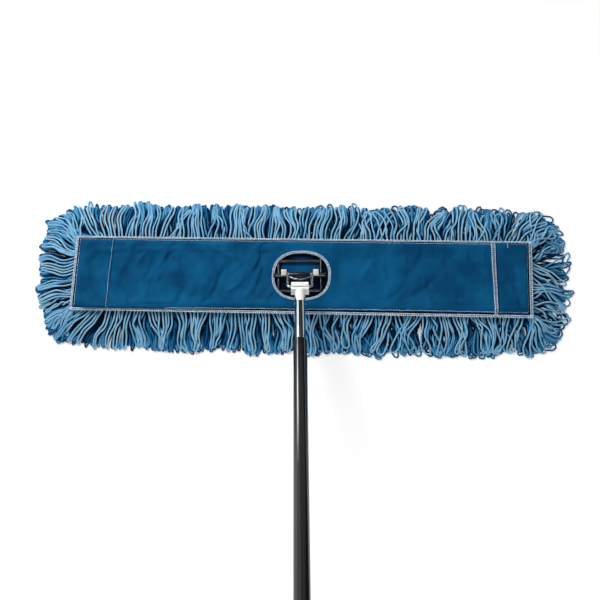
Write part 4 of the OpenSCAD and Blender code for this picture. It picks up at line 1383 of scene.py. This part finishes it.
# hardware: the solids keep their shape and get a finish; folded and moulded ones get eased edges
easedSet = {
    "clip_body": ("clipBodyEased", clipFinish, "bail", "white_clip", 0.45 * mm),
    "clip_lever": ("clipLeverEased", clipFinish, "lever", "white_clip", 0.5 * mm),
    "left_block": ("leftBlockEased", nylonFinish, "head", "white_nylon", 0.6 * mm),
    "right_block": ("rightBlockEased", nylonFinish, "head", "white_nylon", 0.6 * mm),
    "rod_saddle": ("rodSaddleEased", darkSteel, "bail", "dark_steel", 0.3 * mm),
    "end_cap": ("endCapEased", blackPlastic, "handle", "black_plastic", 0.5 * mm),
}
nodeFinishes = {
    wireFinish: ["bail", "keeper_wire", "lever_pin"],
    frameFinish: ["pivot_rod", "frame_sleeves", "bar_front", "bar_rear"],
    shadedWireFinish: ["cross_wire_left", "cross_wire_right", "frame_wire_left", "frame_wire_right"],
    darkSteel: ["rod_caps"],
    clipFinish: ["swivel_collar"],
    platedFinish: ["collar_rivet", "swivel_stud", "bush_screw"],
    chromeFinish: ["socket_tube"],
    nylonFinish: ["thrust_washer"],
    blackCoat: ["handle_tube"],
    blackPlastic: ["handle_bush"],
}
edgeAngles = {"flat": 1, "eased": 40, "easedSharp": 30, "solidSharp": 32}


def copyNode(node, name):
    piece = bpy.data.objects.new(name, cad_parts[node].data.copy())
    scene.collection.objects.link(piece)
    return piece


def easeEdges(node, name, finish, body, slot, width):
    piece = copyNode(node, name)
    bm = bmesh.new()
    bm.from_mesh(piece.data)
    bmesh.ops.remove_doubles(bm, verts=bm.verts, dist=0.005 * mm)
    bmesh.ops.dissolve_limit(bm, angle_limit=math.radians(edgeAngles["flat"]), verts=bm.verts, edges=bm.edges)
    least = math.radians(edgeAngles["eased"])
    sharp = [e for e in bm.edges if len(e.link_faces) == 2 and e.calc_face_angle(0) > least]
    bmesh.ops.bevel(bm, geom=sharp, offset=width, segments=2, profile=0.5, affect="EDGES", clamp_overlap=True)
    bm.to_mesh(piece.data)
    bm.free()
    shadeSmooth(piece, edgeAngles["easedSharp"])
    dress(piece, finish, body, slot, node)


def windSpring():
    # a smooth copy of the spring in the wire finish, standing in for its node, with its transform baked in
    piece = copyNode("lever_spring", "leverSpringWound")
    paint(piece, wireFinish)
    shadeSmooth(piece)
    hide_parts("lever_spring")
    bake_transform(piece)


for node, values in easedSet.items():
    easeEdges(node, *values)
windSpring()
for finish, names in nodeFinishes.items():
    for name in names:
        paint(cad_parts[name], finish)
        shadeSmooth(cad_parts[name], edgeAngles["solidSharp"])
print("hardware ready")


# stage: a pale floor, soft light all round, a softbox from the far left, a low strip beside it,
# and three dark cards that only shiny surfaces see, as in a studio with a dark ceiling and flags
stageSet = {
    "floorHalf": 7.0,
    "floorColour": "#F0F0EF",
    "floorLift": (0.2, 0.85),  # near, where the floor keeps its shadow, and far
    "lampFade": (1.7, 4.2),  # from near to far, measured from below the softbox
    "floorFade": (0.75, 2.3),  # and measured from the middle of the floor
    "ambient": 0.2,
    "lamps": {
        "keySoftbox": {"place": (-1.28, 1.6, 2.05), "size": (1.3, 1.3), "power": 69, "aim": (0, 0, 0),
                       "mirrored": True},
        "frontFill": {"place": (0.4, -2.2, 1.6), "size": (1.4, 1.0), "power": 17, "aim": (0, 0, 0),
                      "mirrored": False},
        "lowStrip": {"place": (-0.98, 1.45, 0.2), "size": (0.3, 0.34), "power": 5.5, "aim": (0, -0.3, 0.2),
                     "mirrored": True},
    },
    # corners, then the heights between which the card goes from one brightness to the other
    "cards": {
        "darkCeiling": ([(-5, -5, 3.2), (5, -5, 3.2), (5, 5, 3.2), (-5, 5, 3.2)], (0.0, 1.0), (0.06, 0.06)),
        "darkFlag": ([(-0.18, 0.42, 0.0), (0.8, 0.42, 0.0), (0.8, 0.42, 1.15), (-0.18, 0.42, 1.15)],
                     (0.2, 0.3), (0.05, 0.42)),
        "darkSide": ([(0.75, -1.3, 0.0), (0.75, 0.7, 0.0), (0.75, 0.7, 0.85), (0.75, -1.3, 0.85)],
                     (0.0, 1.0), (0.05, 0.05)),
    },
}


def plainQuad(name, corners):
    return meshPiece(name, np.array(corners, float), [np.array([[0, 1, 2, 3]])], smooth=False)


def seenDirectly(tree):
    # 1 for what the camera sees, in a mirror or through glass too, and 0 for light on its way elsewhere
    path = addNode(tree, "LightPath")
    seen = path.outputs["Is Camera Ray"]
    for kind in ("Is Glossy Ray", "Is Transmission Ray"):
        seen = addNode(tree, "Math", {"operation": "MAXIMUM"}, {0: seen, 1: path.outputs[kind]}).outputs[0]
    return seen


def glossyCard(name, corners, heights, levels):
    # a card that only reflections see: dark, or graded by height from dark to grey
    card = plainQuad(name, corners)
    material, tree, place = startMaterial(name + "Paint")
    split = addNode(tree, "SeparateXYZ", None, {0: place})
    level = addNode(tree, "MapRange", None, {
        "Value": split.outputs["Z"], "From Min": heights[0], "From Max": heights[1],
        "To Min": levels[0], "To Max": levels[1]})
    glow = addNode(tree, "Emission", None, {"Strength": level.outputs[0]})
    addNode(tree, "OutputMaterial", None, {"Surface": glow.outputs[0]})
    card.data.materials.append(material)
    for kind in ("camera", "diffuse", "shadow", "transmission"):
        setattr(card, "visible_" + kind, False)


def buildFloor():
    # pale paper that is lifted to white for the camera, less so near the head
    s, half = stageSet, stageSet["floorHalf"]
    floor = plainQuad("studioFloor", [(-half, -half, 0), (half, -half, 0), (half, half, 0), (-half, half, 0)])
    material, tree, place = startMaterial("palePaperFloor")
    belowKey = (*s["lamps"]["keySoftbox"]["place"][:2], 0.0)
    levels = []
    for middle, fade in ((belowKey, s["lampFade"]), ((0.0, 0.0, 0.0), s["floorFade"])):
        away = addNode(tree, "VectorMath", {"operation": "DISTANCE"}, {0: place, 1: middle})
        levels.append(addNode(tree, "MapRange", None, {
            "Value": away.outputs["Value"], "From Min": fade[0], "From Max": fade[1],
            "To Min": s["floorLift"][0], "To Max": s["floorLift"][1]}))
    level = addNode(tree, "Math", {"operation": "MAXIMUM"}, {
        0: levels[0].outputs[0], 1: levels[1].outputs[0]})
    lift = addNode(tree, "Math", {"operation": "MULTIPLY"}, {0: seenDirectly(tree), 1: level.outputs[0]})
    paper = addNode(tree, "BsdfDiffuse", None, {"Color": linear(s["floorColour"])})
    glow = addNode(tree, "Emission", None, {"Strength": lift.outputs[0]})
    both = addNode(tree, "AddShader", None, {0: paper.outputs[0], 1: glow.outputs[0]})
    addNode(tree, "OutputMaterial", None, {"Surface": both.outputs[0]})
    floor.data.materials.append(material)


def buildWorld():
    # white behind everything, and soft light from all round
    world = bpy.data.worlds.new("studioWorld")
    scene.world = world
    tree = clearNodes(world)
    soft = addNode(tree, "Background", None, {"Color": linear("#FFFFFF"), "Strength": stageSet["ambient"]})
    white = addNode(tree, "Background", None, {"Color": linear("#FFFFFF"), "Strength": 1.0})
    mixed = addNode(tree, "MixShader", None, {
        0: seenDirectly(tree), 1: soft.outputs[0], 2: white.outputs[0]})
    addNode(tree, "OutputWorld", None, {"Surface": mixed.outputs[0]})


def buildLamp(name, place, size, power, aim, mirrored):
    data = bpy.data.lights.new(name, "AREA")
    data.shape = "RECTANGLE"
    data.size, data.size_y = size
    data.energy = power
    lamp = bpy.data.objects.new(name, data)
    lamp.location = place
    lamp.rotation_euler = (Vector(aim) - Vector(place)).to_track_quat("-Z", "Y").to_euler()
    lamp.visible_camera = False
    lamp.visible_glossy = mirrored
    scene.collection.objects.link(lamp)


buildFloor()
buildWorld()
for name, values in stageSet["lamps"].items():
    buildLamp(name, **values)
for name, values in stageSet["cards"].items():
    glossyCard(name, *values)
print("stage ready")
